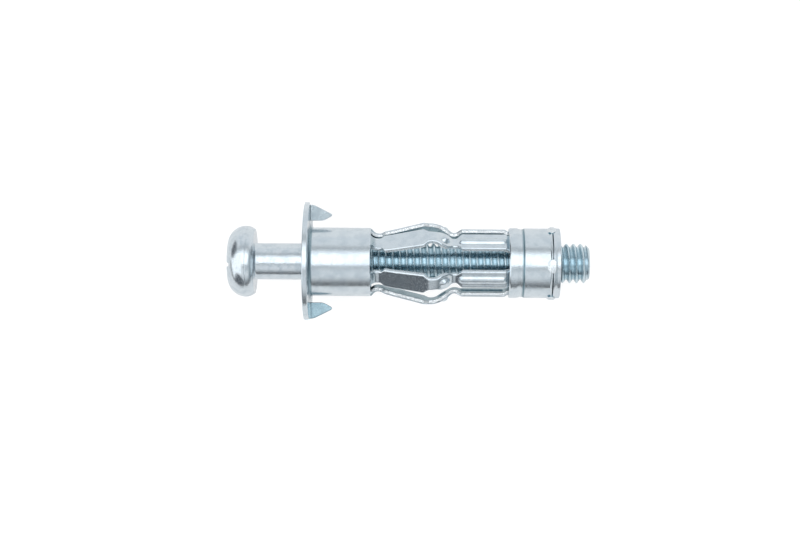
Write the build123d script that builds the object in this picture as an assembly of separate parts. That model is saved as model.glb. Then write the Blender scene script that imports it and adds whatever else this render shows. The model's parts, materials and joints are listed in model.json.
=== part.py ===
from build123d import *
import math
import os

# Metal hollow wall anchor: a one-piece pressed sheet sleeve with folding legs, a nut crimped
# into its far end, and a pan head machine screw that passes through both.
#
# The pieces are modelled along the anchor's own axis, in millimetres: x = 0 is the face of
# the flange that bears on the wall, +x runs through the wall to the nut, and +z is the side
# seen in the photograph. resting_place() then lays the anchor on the ground, on the rim of
# its flange and on the bead round the end of its sleeve.

# Sheet, barrel and flange of the sleeve
SHEET = 0.65
BARREL_DIAMETER = 9.8
BARREL_LENGTH = 8.7
FLANGE_DIAMETER = 17.15
FLANGE_BEND = 0.4
RIM_CHAMFER = 0.2

# Prongs that bite into the wall and stop the sleeve from turning
PRONG_COUNT = 2
FIRST_PRONG_ANGLE = 87.84
PRONG_LENGTH = 3.15
PRONG_FOOT_INNER = 5.85
PRONG_FOOT_OUTER = 8.2
PRONG_TIP_RADIUS = 6.7
PRONG_STRAIGHT = 1.3
PRONG_TIP_ROUND = 0.18
PRONG_BEND_RADIUS = 0.2
PRONG_NOTCH_WIDTH = 2.6

# Legs: how far apart their bends, notches and dimples lie along the axis
LEG_COUNT = 5
FIRST_LEG_ANGLE = 40.5
LEG_ROOT_INSET = 0.5
BARREL_TO_NECK = 0.8
NECK_TO_ARM = 0.8
ARM_TO_KNEE = 6.8
KNEE_TO_NOTCH = 0.4
NOTCH_TO_LINK = 1.2
KNEE_TO_DIMPLE = 2.05
KNEE_TO_WAIST = 3.3
WAIST_TO_RAIL = 1.0
ROOT_BEND = 0.8
NECK_BEND = 1.1
KNEE_BEND = 1.9
WAIST_BEND = 0.9

# Legs: how far their outer face lies outside (+) or inside (-) the barrel and the collar
ROOT_STEP = -0.18
NECK_STEP = -0.8
KNEE_STEP = 1.18
WAIST_STEP = -0.6
RAIL_STEP = -0.275

# Legs: widths of the flat strip along its length
NECK_WIDTH = 2.3
ARM_START_WIDTH = 2.8
KNEE_WIDTH = 3.0
NOTCHED_WIDTH = 1.9
NOTCH_RADIUS = 1.3
LINK_WIDTH = 2.5
WAIST_WIDTH = 1.85
RAIL_WIDTH = 3.05
WIDTH_STEP = 0.5

# Legs: pressed dimple and stiffening rib
DIMPLE_FOOT_DIAMETER = 1.4
DIMPLE_TOP_DIAMETER = 0.8
DIMPLE_RISE = 0.26
RIB_LEAD = 0.15
RIB_LENGTH = 6.8
RIB_WIDTH = 1.0
RIB_RISE = 0.36
RIB_GROOVE_WIDTH = 0.5
RIB_GROOVE_DEPTH = 0.3

# End collar of the sleeve, rolled round the nut
RIB_TO_COLLAR = 0.3
COLLAR_LENGTH = 6.15
COLLAR_DIAMETER = 9.95
COLLAR_TO_ROLL = 1.65
ROLL_WIDTH = 1.2
ROLL_FLOOR_WIDTH = 0.5
ROLL_DEPTH = 0.2
BEAD_WIDTH = 0.5
BEAD_RISE = 0.3
BEAD_CHAMFER = 0.15

# Lugs of the collar that lock into the nut
LUG_COUNT = 5
FIRST_LUG_ANGLE = -5.0
LUG_WIDTH = 1.9
LUG_LENGTH = 0.75
LUG_ROUND = 0.45
LUG_THICKNESS = 0.5
LUG_CLEARANCE = 0.04

# Nut
COLLAR_TO_NUT = 0.6
NUT_RING_DIAMETER = 10.06
NUT_RING_THICKNESS = 1.2
NUT_RING_CHAMFER = 0.2
NUT_CLEARANCE = 0.02
NUT_BORE_CHAMFER = 0.3

# Screw
THREAD_DIAMETER = 5.8
THREAD_CLEARANCE = 0.05
TIP_CHAMFER = 0.45
SHANK_DIAMETER = 5.2
SHANK_LENGTH = 11.9
SCREW_LENGTH = 47.7
HEAD_STANDOFF = 7.2
HEAD_DIAMETER = 10.2
HEAD_HEIGHT = 3.9
HEAD_SHOULDER_RADIUS = 2.6
HEAD_BELLY_RADIUS = 1.9
HEAD_SHOULDER_BANDS = 4
HEAD_BELLY_BANDS = 2
HEAD_EDGE_CHAMFER = 0.2
HEAD_NECK_CHAMFER = 0.3

# Driver recess in the head: a cross with a shallow slot across it
RECESS_ANGLE = -7.0
CROSS_SPAN = 6.4
CROSS_WING_WIDTH = 1.1
CROSS_DEPTH = 2.8
CROSS_CORE_WIDTH = 3.4
CROSS_FLOOR_SPAN = 5.0
CROSS_FLOOR_WING_WIDTH = 0.5
CROSS_FLOOR_CORE_WIDTH = 2.2
SLOT_WIDTH = 0.95
SLOT_DEPTH = 0.62

# Radii, and the heights of a leg above the axis
BARREL_RADIUS = BARREL_DIAMETER / 2
BORE_RADIUS = BARREL_RADIUS - SHEET
FLANGE_RADIUS = FLANGE_DIAMETER / 2
COLLAR_RADIUS = COLLAR_DIAMETER / 2
COLLAR_BORE_RADIUS = COLLAR_RADIUS - SHEET
BEAD_OUTER_RADIUS = COLLAR_RADIUS + BEAD_RISE
THREAD_RADIUS = THREAD_DIAMETER / 2
HEAD_RADIUS = HEAD_DIAMETER / 2
ROOT_HEIGHT = BARREL_RADIUS + ROOT_STEP
NECK_HEIGHT = BARREL_RADIUS + NECK_STEP
KNEE_HEIGHT = BARREL_RADIUS + KNEE_STEP
WAIST_HEIGHT = BARREL_RADIUS + WAIST_STEP
RAIL_HEIGHT = COLLAR_RADIUS + RAIL_STEP

# Stations along the axis
ROOT_STATION = BARREL_LENGTH - LEG_ROOT_INSET
NECK_STATION = BARREL_LENGTH + BARREL_TO_NECK
ARM_STATION = NECK_STATION + NECK_TO_ARM
KNEE_STATION = ARM_STATION + ARM_TO_KNEE
NOTCH_STATION = KNEE_STATION + KNEE_TO_NOTCH
LINK_STATION = NOTCH_STATION + NOTCH_TO_LINK
DIMPLE_STATION = KNEE_STATION + KNEE_TO_DIMPLE
WAIST_STATION = KNEE_STATION + KNEE_TO_WAIST
RAIL_STATION = WAIST_STATION + WAIST_TO_RAIL
RIB_STATION = RAIL_STATION - RIB_LEAD
COLLAR_START = RIB_STATION + RIB_LENGTH + RIB_TO_COLLAR
COLLAR_END = COLLAR_START + COLLAR_LENGTH
ROLL_STATION = COLLAR_START + COLLAR_TO_ROLL
BEAD_STATION = COLLAR_END - BEAD_WIDTH / 2
NUT_START = COLLAR_START + COLLAR_TO_NUT
NUT_END = COLLAR_END + NUT_RING_THICKNESS
LEG_END = (COLLAR_START + NUT_START) / 2
HEAD_UNDERSIDE = -SHEET - HEAD_STANDOFF
HEAD_TOP = HEAD_UNDERSIDE - HEAD_HEIGHT
SCREW_TIP = HEAD_UNDERSIDE + SCREW_LENGTH
FAR_OUT = FLANGE_DIAMETER


def turned(section):
    """The solid of revolution of a half section (x along the axis, y away from it)."""
    return revolve(Plane.XZ * section, axis=Axis.X, revolution_arc=360)


def half_section(start, end, inner_radius, outer_radius):
    """The half section of a plain ring or rod about the axis."""
    middle = Pos((start + end) / 2, (inner_radius + outer_radius) / 2)
    return middle * Rectangle(end - start, outer_radius - inner_radius)


def sheet_section(outer_face):
    """The section of a strip of bent sheet whose outer face follows a line."""
    return make_face(offset(outer_face, amount=SHEET, side=Side.RIGHT, closed=True))


def corner(section, station, radius):
    """The corner of a section that lies nearest to a point."""
    return section.vertices().sort_by_distance((station, radius))[0]


def facing(angle):
    """Turns what points at the viewer (+z) towards +y by an angle, about the axis."""
    return Rot(X=-angle)


def around(piece, count, first_angle):
    """Copies of a piece that faces the viewer, evenly spaced about the axis."""
    step = 360 / count
    return [facing(first_angle + step * place) * piece for place in range(count)]


def flange_and_barrel():
    """The turned part of the sleeve: the flange, bent into the plain barrel behind it."""
    section = half_section(-SHEET, BARREL_LENGTH, BORE_RADIUS, BARREL_RADIUS)
    section += half_section(-SHEET, 0, BORE_RADIUS, FLANGE_RADIUS)
    section = chamfer(corner(section, 0, BARREL_RADIUS), FLANGE_BEND)
    section = chamfer(corner(section, -SHEET, BORE_RADIUS), FLANGE_BEND + SHEET / 2)
    section = chamfer(section.vertices().group_by(Axis.Y)[-1], RIM_CHAMFER)
    return turned(section)


def prong():
    """One prong, folded out of the flange about a radial line, on the side of +y."""
    bend = FilletPolyline(
        (PRONG_LENGTH, 0),
        (-SHEET, 0),
        (-SHEET, 2 * SHEET),
        radius=PRONG_BEND_RADIUS + SHEET,
    )
    folded = extrude(Plane.XZ * sheet_section(bend), amount=-FAR_OUT)
    outline = Polyline(
        (-SHEET, PRONG_FOOT_INNER),
        (PRONG_STRAIGHT, PRONG_FOOT_INNER),
        (PRONG_LENGTH, PRONG_TIP_RADIUS),
        (0, PRONG_FOOT_OUTER),
        (-SHEET, PRONG_FOOT_OUTER),
        close=True,
    )
    face = make_face(outline)
    face = fillet(face.vertices().sort_by(Axis.X)[-1], PRONG_TIP_ROUND)
    return folded & extrude(face, amount=FAR_OUT, both=True)


def prong_notch():
    """The bite that a prong leaves in the rim of the flange, up to the prong's fold."""
    fold = PRONG_BEND_RADIUS + SHEET
    outline = Polyline(
        (PRONG_FOOT_INNER, fold),
        (FLANGE_DIAMETER, fold),
        (FLANGE_DIAMETER, -PRONG_NOTCH_WIDTH),
        (PRONG_TIP_RADIUS, -PRONG_NOTCH_WIDTH),
        (PRONG_FOOT_INNER, -PRONG_NOTCH_WIDTH / 2),
        close=True,
    )
    return extrude(Plane.YZ * make_face(outline), amount=2 * SHEET, both=True)


def leg_sheet():
    """The long section of a leg: sheet bent in at the neck, out at the knee and in again."""
    outer_face = FilletPolyline(
        (ROOT_STATION, ROOT_HEIGHT),
        (BARREL_LENGTH, ROOT_HEIGHT),
        (NECK_STATION, NECK_HEIGHT),
        (KNEE_STATION, KNEE_HEIGHT),
        (WAIST_STATION, WAIST_HEIGHT),
        (RAIL_STATION, RAIL_HEIGHT),
        (LEG_END, RAIL_HEIGHT),
        radius=[ROOT_BEND, NECK_BEND, KNEE_BEND, WAIST_BEND, WAIST_BEND],
    )
    return extrude(Plane.XZ * sheet_section(outer_face), amount=RAIL_WIDTH, both=True)


def leg_outline():
    """A leg seen from outside: a flat strip that narrows at the neck, notches and waist."""
    upper_edge = [
        (ROOT_STATION - SHEET, NECK_WIDTH / 2),
        (ARM_STATION, NECK_WIDTH / 2),
        (ARM_STATION + WIDTH_STEP, ARM_START_WIDTH / 2),
        (NOTCH_STATION, KNEE_WIDTH / 2),
        (LINK_STATION, LINK_WIDTH / 2),
        (WAIST_STATION - WIDTH_STEP, LINK_WIDTH / 2),
        (WAIST_STATION, WAIST_WIDTH / 2),
        (WAIST_STATION + WIDTH_STEP, WAIST_WIDTH / 2),
        (RAIL_STATION + WIDTH_STEP, RAIL_WIDTH / 2),
        (LEG_END + SHEET, RAIL_WIDTH / 2),
    ]
    lower_edge = [(station, -half_width) for station, half_width in reversed(upper_edge)]
    strip = make_face(Polyline(*upper_edge, *lower_edge, close=True))
    notch_centre = NOTCHED_WIDTH / 2 + NOTCH_RADIUS
    for side in (1, -1):
        strip -= Pos(NOTCH_STATION, side * notch_centre) * Circle(NOTCH_RADIUS)
    return strip


def rib():
    """The embossed rib on the straight end of a leg, and the groove behind it."""
    middle = RIB_STATION + RIB_LENGTH / 2
    bottom = RAIL_HEIGHT - SHEET
    outside = Pos(middle, 0, RAIL_HEIGHT) * SlotOverall(RIB_LENGTH, RIB_WIDTH)
    boss = extrude(outside, amount=RIB_RISE)
    inside_length = RIB_LENGTH - RIB_WIDTH + RIB_GROOVE_WIDTH
    inside = Pos(middle, 0, bottom) * SlotOverall(inside_length, RIB_GROOVE_WIDTH)
    return boss, extrude(inside, amount=RIB_GROOVE_DEPTH)


def dimple():
    """The round dimple pressed outwards below the knee."""
    fall = KNEE_HEIGHT - WAIST_HEIGHT
    height = KNEE_HEIGHT - fall * KNEE_TO_DIMPLE / KNEE_TO_WAIST
    face = Plane(
        origin=(DIMPLE_STATION, 0, height),
        x_dir=(KNEE_TO_WAIST, 0, -fall),
        z_dir=(fall, 0, KNEE_TO_WAIST),
    )
    cap = Cone(DIMPLE_FOOT_DIAMETER / 2, DIMPLE_TOP_DIAMETER / 2, DIMPLE_RISE)
    return face * Pos(0, 0, DIMPLE_RISE / 2) * cap


def leg():
    """One folding leg, facing the viewer."""
    rib_boss, rib_groove = rib()
    bore = turned(half_section(0, BARREL_LENGTH, 0, BORE_RADIUS))
    strip = (leg_sheet() & extrude(leg_outline(), amount=FAR_OUT)) - bore
    return strip + rib_boss + dimple() - rib_groove


def rolled_groove(rim_radius, margin=0.0):
    """The half section of the rolled groove below a rim, with a margin on both flanks."""
    half_width = ROLL_WIDTH / 2 + margin
    half_floor = ROLL_FLOOR_WIDTH / 2 + margin
    outline = Polyline(
        (ROLL_STATION - half_width, rim_radius),
        (ROLL_STATION - half_floor, rim_radius - ROLL_DEPTH),
        (ROLL_STATION + half_floor, rim_radius - ROLL_DEPTH),
        (ROLL_STATION + half_width, rim_radius),
        close=True,
    )
    return make_face(outline)


def collar():
    """The end of the sleeve: a tube with a rolled groove and a bead round its end."""
    wall = half_section(COLLAR_START, COLLAR_END, COLLAR_BORE_RADIUS, COLLAR_RADIUS)
    wall += rolled_groove(COLLAR_BORE_RADIUS)
    wall -= rolled_groove(COLLAR_RADIUS)
    wall += half_section(COLLAR_END - BEAD_WIDTH, COLLAR_END, COLLAR_RADIUS, BEAD_OUTER_RADIUS)
    wall = chamfer(wall.vertices().group_by(Axis.Y)[-1], BEAD_CHAMFER)
    return turned(wall)


def lug(clearance=0.0):
    """A lug of the collar that reaches into the nut's ring, or its seat with a clearance."""
    length = LUG_LENGTH + BEAD_WIDTH / 2
    plan = Pos(BEAD_STATION + length / 2) * RectangleRounded(length, LUG_WIDTH, LUG_ROUND)
    if clearance:
        plan = offset(plan, amount=clearance)
    inner_radius = NUT_RING_DIAMETER / 2 - LUG_THICKNESS - clearance
    outer_radius = NUT_RING_DIAMETER / 2 + clearance
    shell = turned(half_section(COLLAR_START, NUT_END, inner_radius, outer_radius))
    return shell & extrude(plan, amount=FAR_OUT)


def make_sleeve():
    sleeve = flange_and_barrel()
    from_side = FIRST_PRONG_ANGLE - 90
    sleeve = sleeve - around(prong_notch(), PRONG_COUNT, from_side)
    sleeve = sleeve + around(prong(), PRONG_COUNT, from_side)
    sleeve = sleeve + around(leg(), LEG_COUNT, FIRST_LEG_ANGLE)
    sleeve = sleeve + collar()
    return sleeve + around(lug(), LUG_COUNT, FIRST_LUG_ANGLE)


def make_nut():
    bore_radius = THREAD_RADIUS + THREAD_CLEARANCE
    ring_radius = NUT_RING_DIAMETER / 2
    body_radius = COLLAR_BORE_RADIUS - NUT_CLEARANCE
    section = half_section(NUT_START, COLLAR_END, bore_radius, body_radius)
    section -= rolled_groove(body_radius, NUT_CLEARANCE)
    section += half_section(COLLAR_END, NUT_END, bore_radius, ring_radius)
    section = chamfer(section.vertices().group_by(Axis.Y)[0], NUT_BORE_CHAMFER)
    section = chamfer(corner(section, NUT_END, ring_radius), NUT_RING_CHAMFER)
    return turned(section) - around(lug(LUG_CLEARANCE), LUG_COUNT, FIRST_LUG_ANGLE)


def banded_arc(station, radius, arc_radius, start, end, bands):
    """Points along an arc about (station, radius), from one angle to another, in bands."""
    angles = [math.radians(start + (end - start) * band / bands) for band in range(bands + 1)]
    return [
        (station + arc_radius * math.cos(angle), radius + arc_radius * math.sin(angle))
        for angle in angles
    ]


def pan_head():
    """The head in half section: a flat crown, a round shoulder and a belly that turns in."""
    widest = HEAD_TOP + HEAD_SHOULDER_RADIUS
    crown = HEAD_RADIUS - HEAD_SHOULDER_RADIUS
    shoulder = banded_arc(widest, crown, HEAD_SHOULDER_RADIUS, 180, 90, HEAD_SHOULDER_BANDS)
    belly_centre = HEAD_RADIUS - HEAD_BELLY_RADIUS
    belly_turn = math.degrees(math.asin((HEAD_UNDERSIDE - widest) / HEAD_BELLY_RADIUS))
    belly = banded_arc(
        widest, belly_centre, HEAD_BELLY_RADIUS, 90, 90 - belly_turn, HEAD_BELLY_BANDS
    )
    outline = [(HEAD_TOP, 0), *shoulder, *belly[1:], (HEAD_UNDERSIDE, 0)]
    section = make_face(Polyline(*outline, close=True))
    return chamfer(corner(section, *belly[-1]), HEAD_EDGE_CHAMFER)


def screw_blank():
    """The screw without its recess, its thread a plain rod of the outside diameter."""
    thread_start = HEAD_UNDERSIDE + SHANK_LENGTH
    shank_radius = SHANK_DIAMETER / 2
    section = pan_head() + half_section(HEAD_UNDERSIDE, thread_start, 0, shank_radius)
    section += half_section(thread_start, SCREW_TIP, 0, THREAD_RADIUS)
    section = chamfer(corner(section, HEAD_UNDERSIDE, shank_radius), HEAD_NECK_CHAMFER)
    section = chamfer(corner(section, SCREW_TIP, THREAD_RADIUS), TIP_CHAMFER)
    return turned(section)


def cross_outline(span, wing_width, core_width):
    """A cross of two wings with a square core set cornerwise between them."""
    wing = Rectangle(span, wing_width)
    return wing + Rot(Z=90) * wing + Rot(Z=45) * Rectangle(core_width, core_width)


def driver_recess():
    """The cross recess and the slot across it, cut into the head from its crown."""
    crown = Plane(origin=(HEAD_TOP, 0, 0), x_dir=(0, 0, 1), z_dir=(1, 0, 0))
    mouth = cross_outline(CROSS_SPAN, CROSS_WING_WIDTH, CROSS_CORE_WIDTH)
    floor = cross_outline(CROSS_FLOOR_SPAN, CROSS_FLOOR_WING_WIDTH, CROSS_FLOOR_CORE_WIDTH)
    socket = loft([crown * mouth, crown * Pos(0, 0, CROSS_DEPTH) * floor], ruled=True)
    slot = crown * Pos(0, 0, SLOT_DEPTH / 2) * Box(HEAD_DIAMETER, SLOT_WIDTH, SLOT_DEPTH)
    return facing(RECESS_ANGLE) * (socket + slot)


def make_screw():
    return screw_blank() - driver_recess()


def resting_place():
    """Where the anchor lies on the ground, its middle over the origin, its axis towards +x.

    It lies on the wall side of the flange's rim and on the far side of the bead.
    """
    rim = -RIM_CHAMFER
    bead = COLLAR_END - BEAD_CHAMFER
    lean = math.atan2(FLANGE_RADIUS - BEAD_OUTER_RADIUS, bead - rim)
    height = FLANGE_RADIUS * math.cos(lean) + rim * math.sin(lean)
    crown = HEAD_RADIUS - HEAD_SHOULDER_RADIUS
    left = HEAD_TOP * math.cos(lean) - crown * math.sin(lean)
    right = SCREW_TIP * math.cos(lean) + (THREAD_RADIUS - TIP_CHAMFER) * math.sin(lean)
    return Pos(-(left + right) / 2, 0, height) * Rot(Y=math.degrees(lean))


def main():
    os.makedirs("parts", exist_ok=True)
    pieces = {
        "sleeve": make_sleeve(),
        "nut": make_nut(),
        "screw": make_screw(),
    }
    place = resting_place()
    for name, piece in pieces.items():
        export_step(place * piece, f"parts/{name}.step")


main()
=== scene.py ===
import json
import logging
import math
from dataclasses import dataclass, field, fields, replace
from enum import Enum
from functools import cached_property
from typing import Any, Callable, Iterable, Mapping, Sequence

import bmesh
import bpy
from mathutils import Matrix, Vector


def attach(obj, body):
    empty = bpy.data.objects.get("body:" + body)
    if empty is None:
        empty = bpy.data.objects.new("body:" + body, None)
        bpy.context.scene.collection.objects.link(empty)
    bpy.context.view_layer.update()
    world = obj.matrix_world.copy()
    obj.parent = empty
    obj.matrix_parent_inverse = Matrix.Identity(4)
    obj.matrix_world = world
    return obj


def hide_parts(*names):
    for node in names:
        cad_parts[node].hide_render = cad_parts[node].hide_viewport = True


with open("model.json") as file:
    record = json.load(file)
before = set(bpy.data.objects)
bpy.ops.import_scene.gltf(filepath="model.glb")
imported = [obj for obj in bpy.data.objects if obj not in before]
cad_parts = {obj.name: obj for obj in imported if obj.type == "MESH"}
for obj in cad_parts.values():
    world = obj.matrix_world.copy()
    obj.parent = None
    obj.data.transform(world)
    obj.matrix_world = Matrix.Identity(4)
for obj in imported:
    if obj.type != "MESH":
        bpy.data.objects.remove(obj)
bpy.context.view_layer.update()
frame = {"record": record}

MM = 0.001
IMAGE_WIDTH = 800

# The most that one step of a round turns, in degrees.
ROUND_TURN = 9.0
# Edges that turn more than this stay sharp, in degrees.
SHARP_ANGLE = 32.0
# Points nearer to each other than this are one, in millimetres.
MERGE_DISTANCE = 1e-4
# An edge shorter than this is taken out, in millimetres.
SHORTEST_EDGE = 1e-5
# A length that counts as none, in millimetres.
NO_LENGTH = 1e-9
# A point of a profile this near to a bore lies on it, in millimetres.
BORE_MARGIN = 0.05
# Added to a count of turns, so that its fraction is never that of a negative number.
WHOLE_TURNS = 100
# The Mix node's sockets for its two colours and for the mixed one.
MIX_FIRST, MIX_SECOND, MIX_RESULT = 6, 7, 2

Point = tuple[float, float]
# Two coordinates and the radius of the round.
Corner = tuple[float, float, float]
# Where something sets in, and where it fades out again.
Span = tuple[Point, Point]
Colour = tuple[float, float, float]
# Along, across and above the axis.
Place = tuple[float, float, float]

log = logging.getLogger("hollow_wall_anchor")


class Body(Enum):
    """The two bodies that the anchor comes apart into."""

    ANCHOR = "anchor"
    SCREW = "screw"


class Slot(Enum):
    """The record's material slots."""

    SLEEVE = "sleeve_zinc"
    NUT = "nut_zinc"
    SCREW = "screw_zinc"


@dataclass(frozen=True)
class AnchorAxis:
    """Where the anchor's own axis lies in the frame.

    Pieces are built in millimetres along that axis: x runs from the flange's wall face
    (0) to the nut, y is the frame's +Y, and z is the side that faces up.
    """

    origin: Vector
    direction: Vector

    @classmethod
    def from_record(cls, record: Mapping[str, Any]) -> "AnchorAxis":
        """Reads the axis from the mount for the drilled hole.

        Args:
            record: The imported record.

        Returns:
            The axis through the middle of the flange.
        """
        mount = next(m for m in record["mounts"] if m["name"] == "drilled_hole")
        return cls(Vector(mount["pos_m"]), Vector(mount["axis"]).normalized())

    @property
    def across(self) -> Vector:
        """The frame's +Y, which is square to the axis."""
        return Vector((0, 1, 0))

    @property
    def upward(self) -> Vector:
        """The direction square to the axis that faces up."""
        return self.direction.cross(self.across)

    @property
    def lean(self) -> float:
        """How far the axis falls below the frame's +X, in radians."""
        return math.atan2(-self.direction.z, self.direction.x)

    def placement(self) -> Matrix:
        """The matrix from millimetres along the axis to metres in the frame."""
        turn = Matrix((self.direction, self.across, self.upward)).transposed().to_4x4()
        return Matrix.Translation(self.origin) @ turn @ Matrix.Scale(MM, 4)

    def point(self, along: float, across: float, up: float) -> Vector:
        """A point given in millimetres along, across and above the axis, in the frame."""
        return self.placement() @ Vector((along, across, up))


AXIS = AnchorAxis.from_record(frame["record"])


class Value:
    """A number in a node tree, which Python's own signs work on."""

    def __init__(self, net: "Net", socket: bpy.types.NodeSocket) -> None:
        """Holds a socket of a tree."""
        self.net = net
        self.socket = socket

    def _math(self, operation: str, *terms: Any) -> "Value":
        """Adds a Math node.

        Args:
            operation: The node's operation.
            terms: Its inputs, as numbers or values.

        Returns:
            What the node gives out.
        """
        made = self.net.node("ShaderNodeMath", {"operation": operation}, dict(enumerate(terms)))
        return Value(self.net, made.outputs[0])

    def __add__(self, other: Any) -> "Value":
        """Adds."""
        return self._math("ADD", self, other)

    def __radd__(self, other: Any) -> "Value":
        """Adds, with the number first."""
        return self._math("ADD", other, self)

    def __sub__(self, other: Any) -> "Value":
        """Takes away."""
        return self._math("SUBTRACT", self, other)

    def __rsub__(self, other: Any) -> "Value":
        """Takes away from a number."""
        return self._math("SUBTRACT", other, self)

    def __mul__(self, other: Any) -> "Value":
        """Multiplies."""
        return self._math("MULTIPLY", self, other)

    def __rmul__(self, other: Any) -> "Value":
        """Multiplies, with the number first."""
        return self._math("MULTIPLY", other, self)

    def __truediv__(self, other: Any) -> "Value":
        """Divides."""
        return self._math("DIVIDE", self, other)

    def __rtruediv__(self, other: Any) -> "Value":
        """Divides a number."""
        return self._math("DIVIDE", other, self)

    def fraction(self) -> "Value":
        """What is left above the whole number below."""
        return self._math("FRACT", self)

    def size(self) -> "Value":
        """The number without its sign."""
        return self._math("ABSOLUTE", self)

    def cosine(self) -> "Value":
        """The cosine of an angle in radians."""
        return self._math("COSINE", self)

    def sine(self) -> "Value":
        """The sine of an angle in radians."""
        return self._math("SINE", self)

    def angle_to(self, across: "Value") -> "Value":
        """The angle of a point whose height is this and whose distance is `across`."""
        return self._math("ARCTAN2", self, across)

    def at_least(self, other: Any) -> "Value":
        """The larger of two."""
        return self._math("MAXIMUM", self, other)

    def at_most(self, other: Any) -> "Value":
        """The smaller of two."""
        return self._math("MINIMUM", self, other)

    def step(self, low: float, high: float) -> "Value":
        """A smooth step from 0 at one value to 1 at another.

        Args:
            low: Where it leaves 0.
            high: Where it reaches 1.

        Returns:
            The step, between 0 and 1.
        """
        made = self.net.node(
            "ShaderNodeMapRange",
            {"interpolation_type": "SMOOTHSTEP", "clamp": True},
            {"Value": self, "From Min": low, "From Max": high},
        )
        return Value(self.net, made.outputs[0])


class Net:
    """A node tree, with one way to add any node to it."""

    def __init__(self, tree: bpy.types.NodeTree) -> None:
        """Holds a tree."""
        self.tree = tree

    def node(
        self,
        kind: str,
        settings: Mapping[str, Any] | None = None,
        inputs: Mapping[Any, Any] | None = None,
    ) -> bpy.types.Node:
        """Adds a node, sets it, and then feeds it.

        Args:
            kind: The node's type.
            settings: Its properties, which are set first.
            inputs: Values or links for its sockets, by name or number.

        Returns:
            The node.
        """
        made = self.tree.nodes.new(kind)
        for name, setting in (settings or {}).items():
            setattr(made, name, setting)
        for name, given in (inputs or {}).items():
            self.feed(made.inputs[name], given)
        return made

    def feed(self, socket: bpy.types.NodeSocket, given: Any) -> None:
        """Links a socket, or sets its value.

        Args:
            socket: The input.
            given: A value, a socket or plain data.
        """
        if isinstance(given, Value):
            given = given.socket
        if isinstance(given, bpy.types.NodeSocket):
            self.tree.links.new(given, socket)
        else:
            socket.default_value = given

    def value(self, socket: bpy.types.NodeSocket) -> Value:
        """Wraps a socket for sums."""
        return Value(self, socket)

    def vector(self, x: Any = 0.0, y: Any = 0.0, z: Any = 0.0) -> bpy.types.NodeSocket:
        """Joins three numbers or values into a vector."""
        return self.node("ShaderNodeCombineXYZ", None, {"X": x, "Y": y, "Z": z}).outputs[0]

    def parts(self, vector: bpy.types.NodeSocket) -> list[Value]:
        """Splits a vector into its three values."""
        made = self.node("ShaderNodeSeparateXYZ", None, {0: vector})
        return [self.value(output) for output in made.outputs]

    def placed(
        self, geometry: bpy.types.NodeSocket, spot: bpy.types.NodeSocket
    ) -> bpy.types.NodeSocket:
        """Moves each of a geometry's points to its own spot."""
        inputs = {"Geometry": geometry, "Position": spot}
        return self.node("GeometryNodeSetPosition", None, inputs).outputs[0]

    def ramp(
        self, factor: Any, stops: Iterable[tuple[float, Sequence[float]]]
    ) -> bpy.types.NodeSocket:
        """Adds a colour ramp.

        Args:
            factor: What runs along the ramp, from 0 to 1.
            stops: Places along it, each with its red, green and blue.

        Returns:
            The ramp's colour.
        """
        made = self.node("ShaderNodeValToRGB", None, {0: factor})
        elements = made.color_ramp.elements
        stops = list(stops)
        for place, _ in stops[2:]:
            elements.new(place)
        for element, (place, colour) in zip(elements, sorted(stops, key=lambda s: s[0])):
            element.position = place
            element.color = (*colour, 1.0)
        return made.outputs["Color"]

    def mixed(self, factor: Any, first: Any, second: Any) -> bpy.types.NodeSocket:
        """Mixes two colours.

        Args:
            factor: 0 for the first, 1 for the second.
            first: A colour or its socket.
            second: A colour or its socket.

        Returns:
            The mixed colour.
        """
        made = self.node(
            "ShaderNodeMix",
            {"data_type": "RGBA"},
            {0: factor, MIX_FIRST: first, MIX_SECOND: second},
        )
        return made.outputs[MIX_RESULT]


def emptied(owner: bpy.types.Material | bpy.types.World) -> Net:
    """The node tree of a material or a world, with nothing in it yet."""
    owner.use_nodes = True
    owner.node_tree.nodes.clear()
    return Net(owner.node_tree)


def linked(name: str, data: bpy.types.ID) -> bpy.types.Object:
    """A new object of the scene, with a mesh, lamp or camera in it."""
    made = bpy.data.objects.new(name, data)
    bpy.context.scene.collection.objects.link(made)
    return made


def rounded(
    corners: Sequence[Corner], closed: bool = False, turn: float = ROUND_TURN
) -> list[Point]:
    """A line through corners, each of which is rounded with its own radius.

    Args:
        corners: Each corner's two coordinates and its radius.
        closed: Whether the line runs back to its first corner.
        turn: The most that one step of a round turns, in degrees.

    Returns:
        The line's points.
    """
    count = len(corners)
    line: list[Point] = []
    for place, (x, y, radius) in enumerate(corners):
        is_end = not closed and place in (0, count - 1)
        here = Vector((x, y))
        if is_end or radius <= 0:
            line.append((x, y))
            continue
        before = (Vector(corners[place - 1][:2]) - here).normalized()
        after = (Vector(corners[(place + 1) % count][:2]) - here).normalized()
        half_angle = before.angle(after) / 2
        reach = radius / math.tan(half_angle)
        centre = here + (before + after).normalized() * (radius / math.sin(half_angle))
        start = here + before * reach - centre
        sweep = math.pi - 2 * half_angle
        steps = max(2, math.ceil(math.degrees(sweep) / turn))
        sign = 1 if before.x * after.y - before.y * after.x < 0 else -1
        for step in range(steps + 1):
            angle = sign * sweep * step / steps
            cosine, sine = math.cos(angle), math.sin(angle)
            line.append(
                (
                    centre.x + start.x * cosine - start.y * sine,
                    centre.y + start.x * sine + start.y * cosine,
                )
            )
    return line


def moved(corners: Iterable[Corner], along: float, out: float) -> list[Corner]:
    """The same corners, moved along the axis and away from it."""
    return [(x + along, y + out, radius) for x, y, radius in corners]


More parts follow.
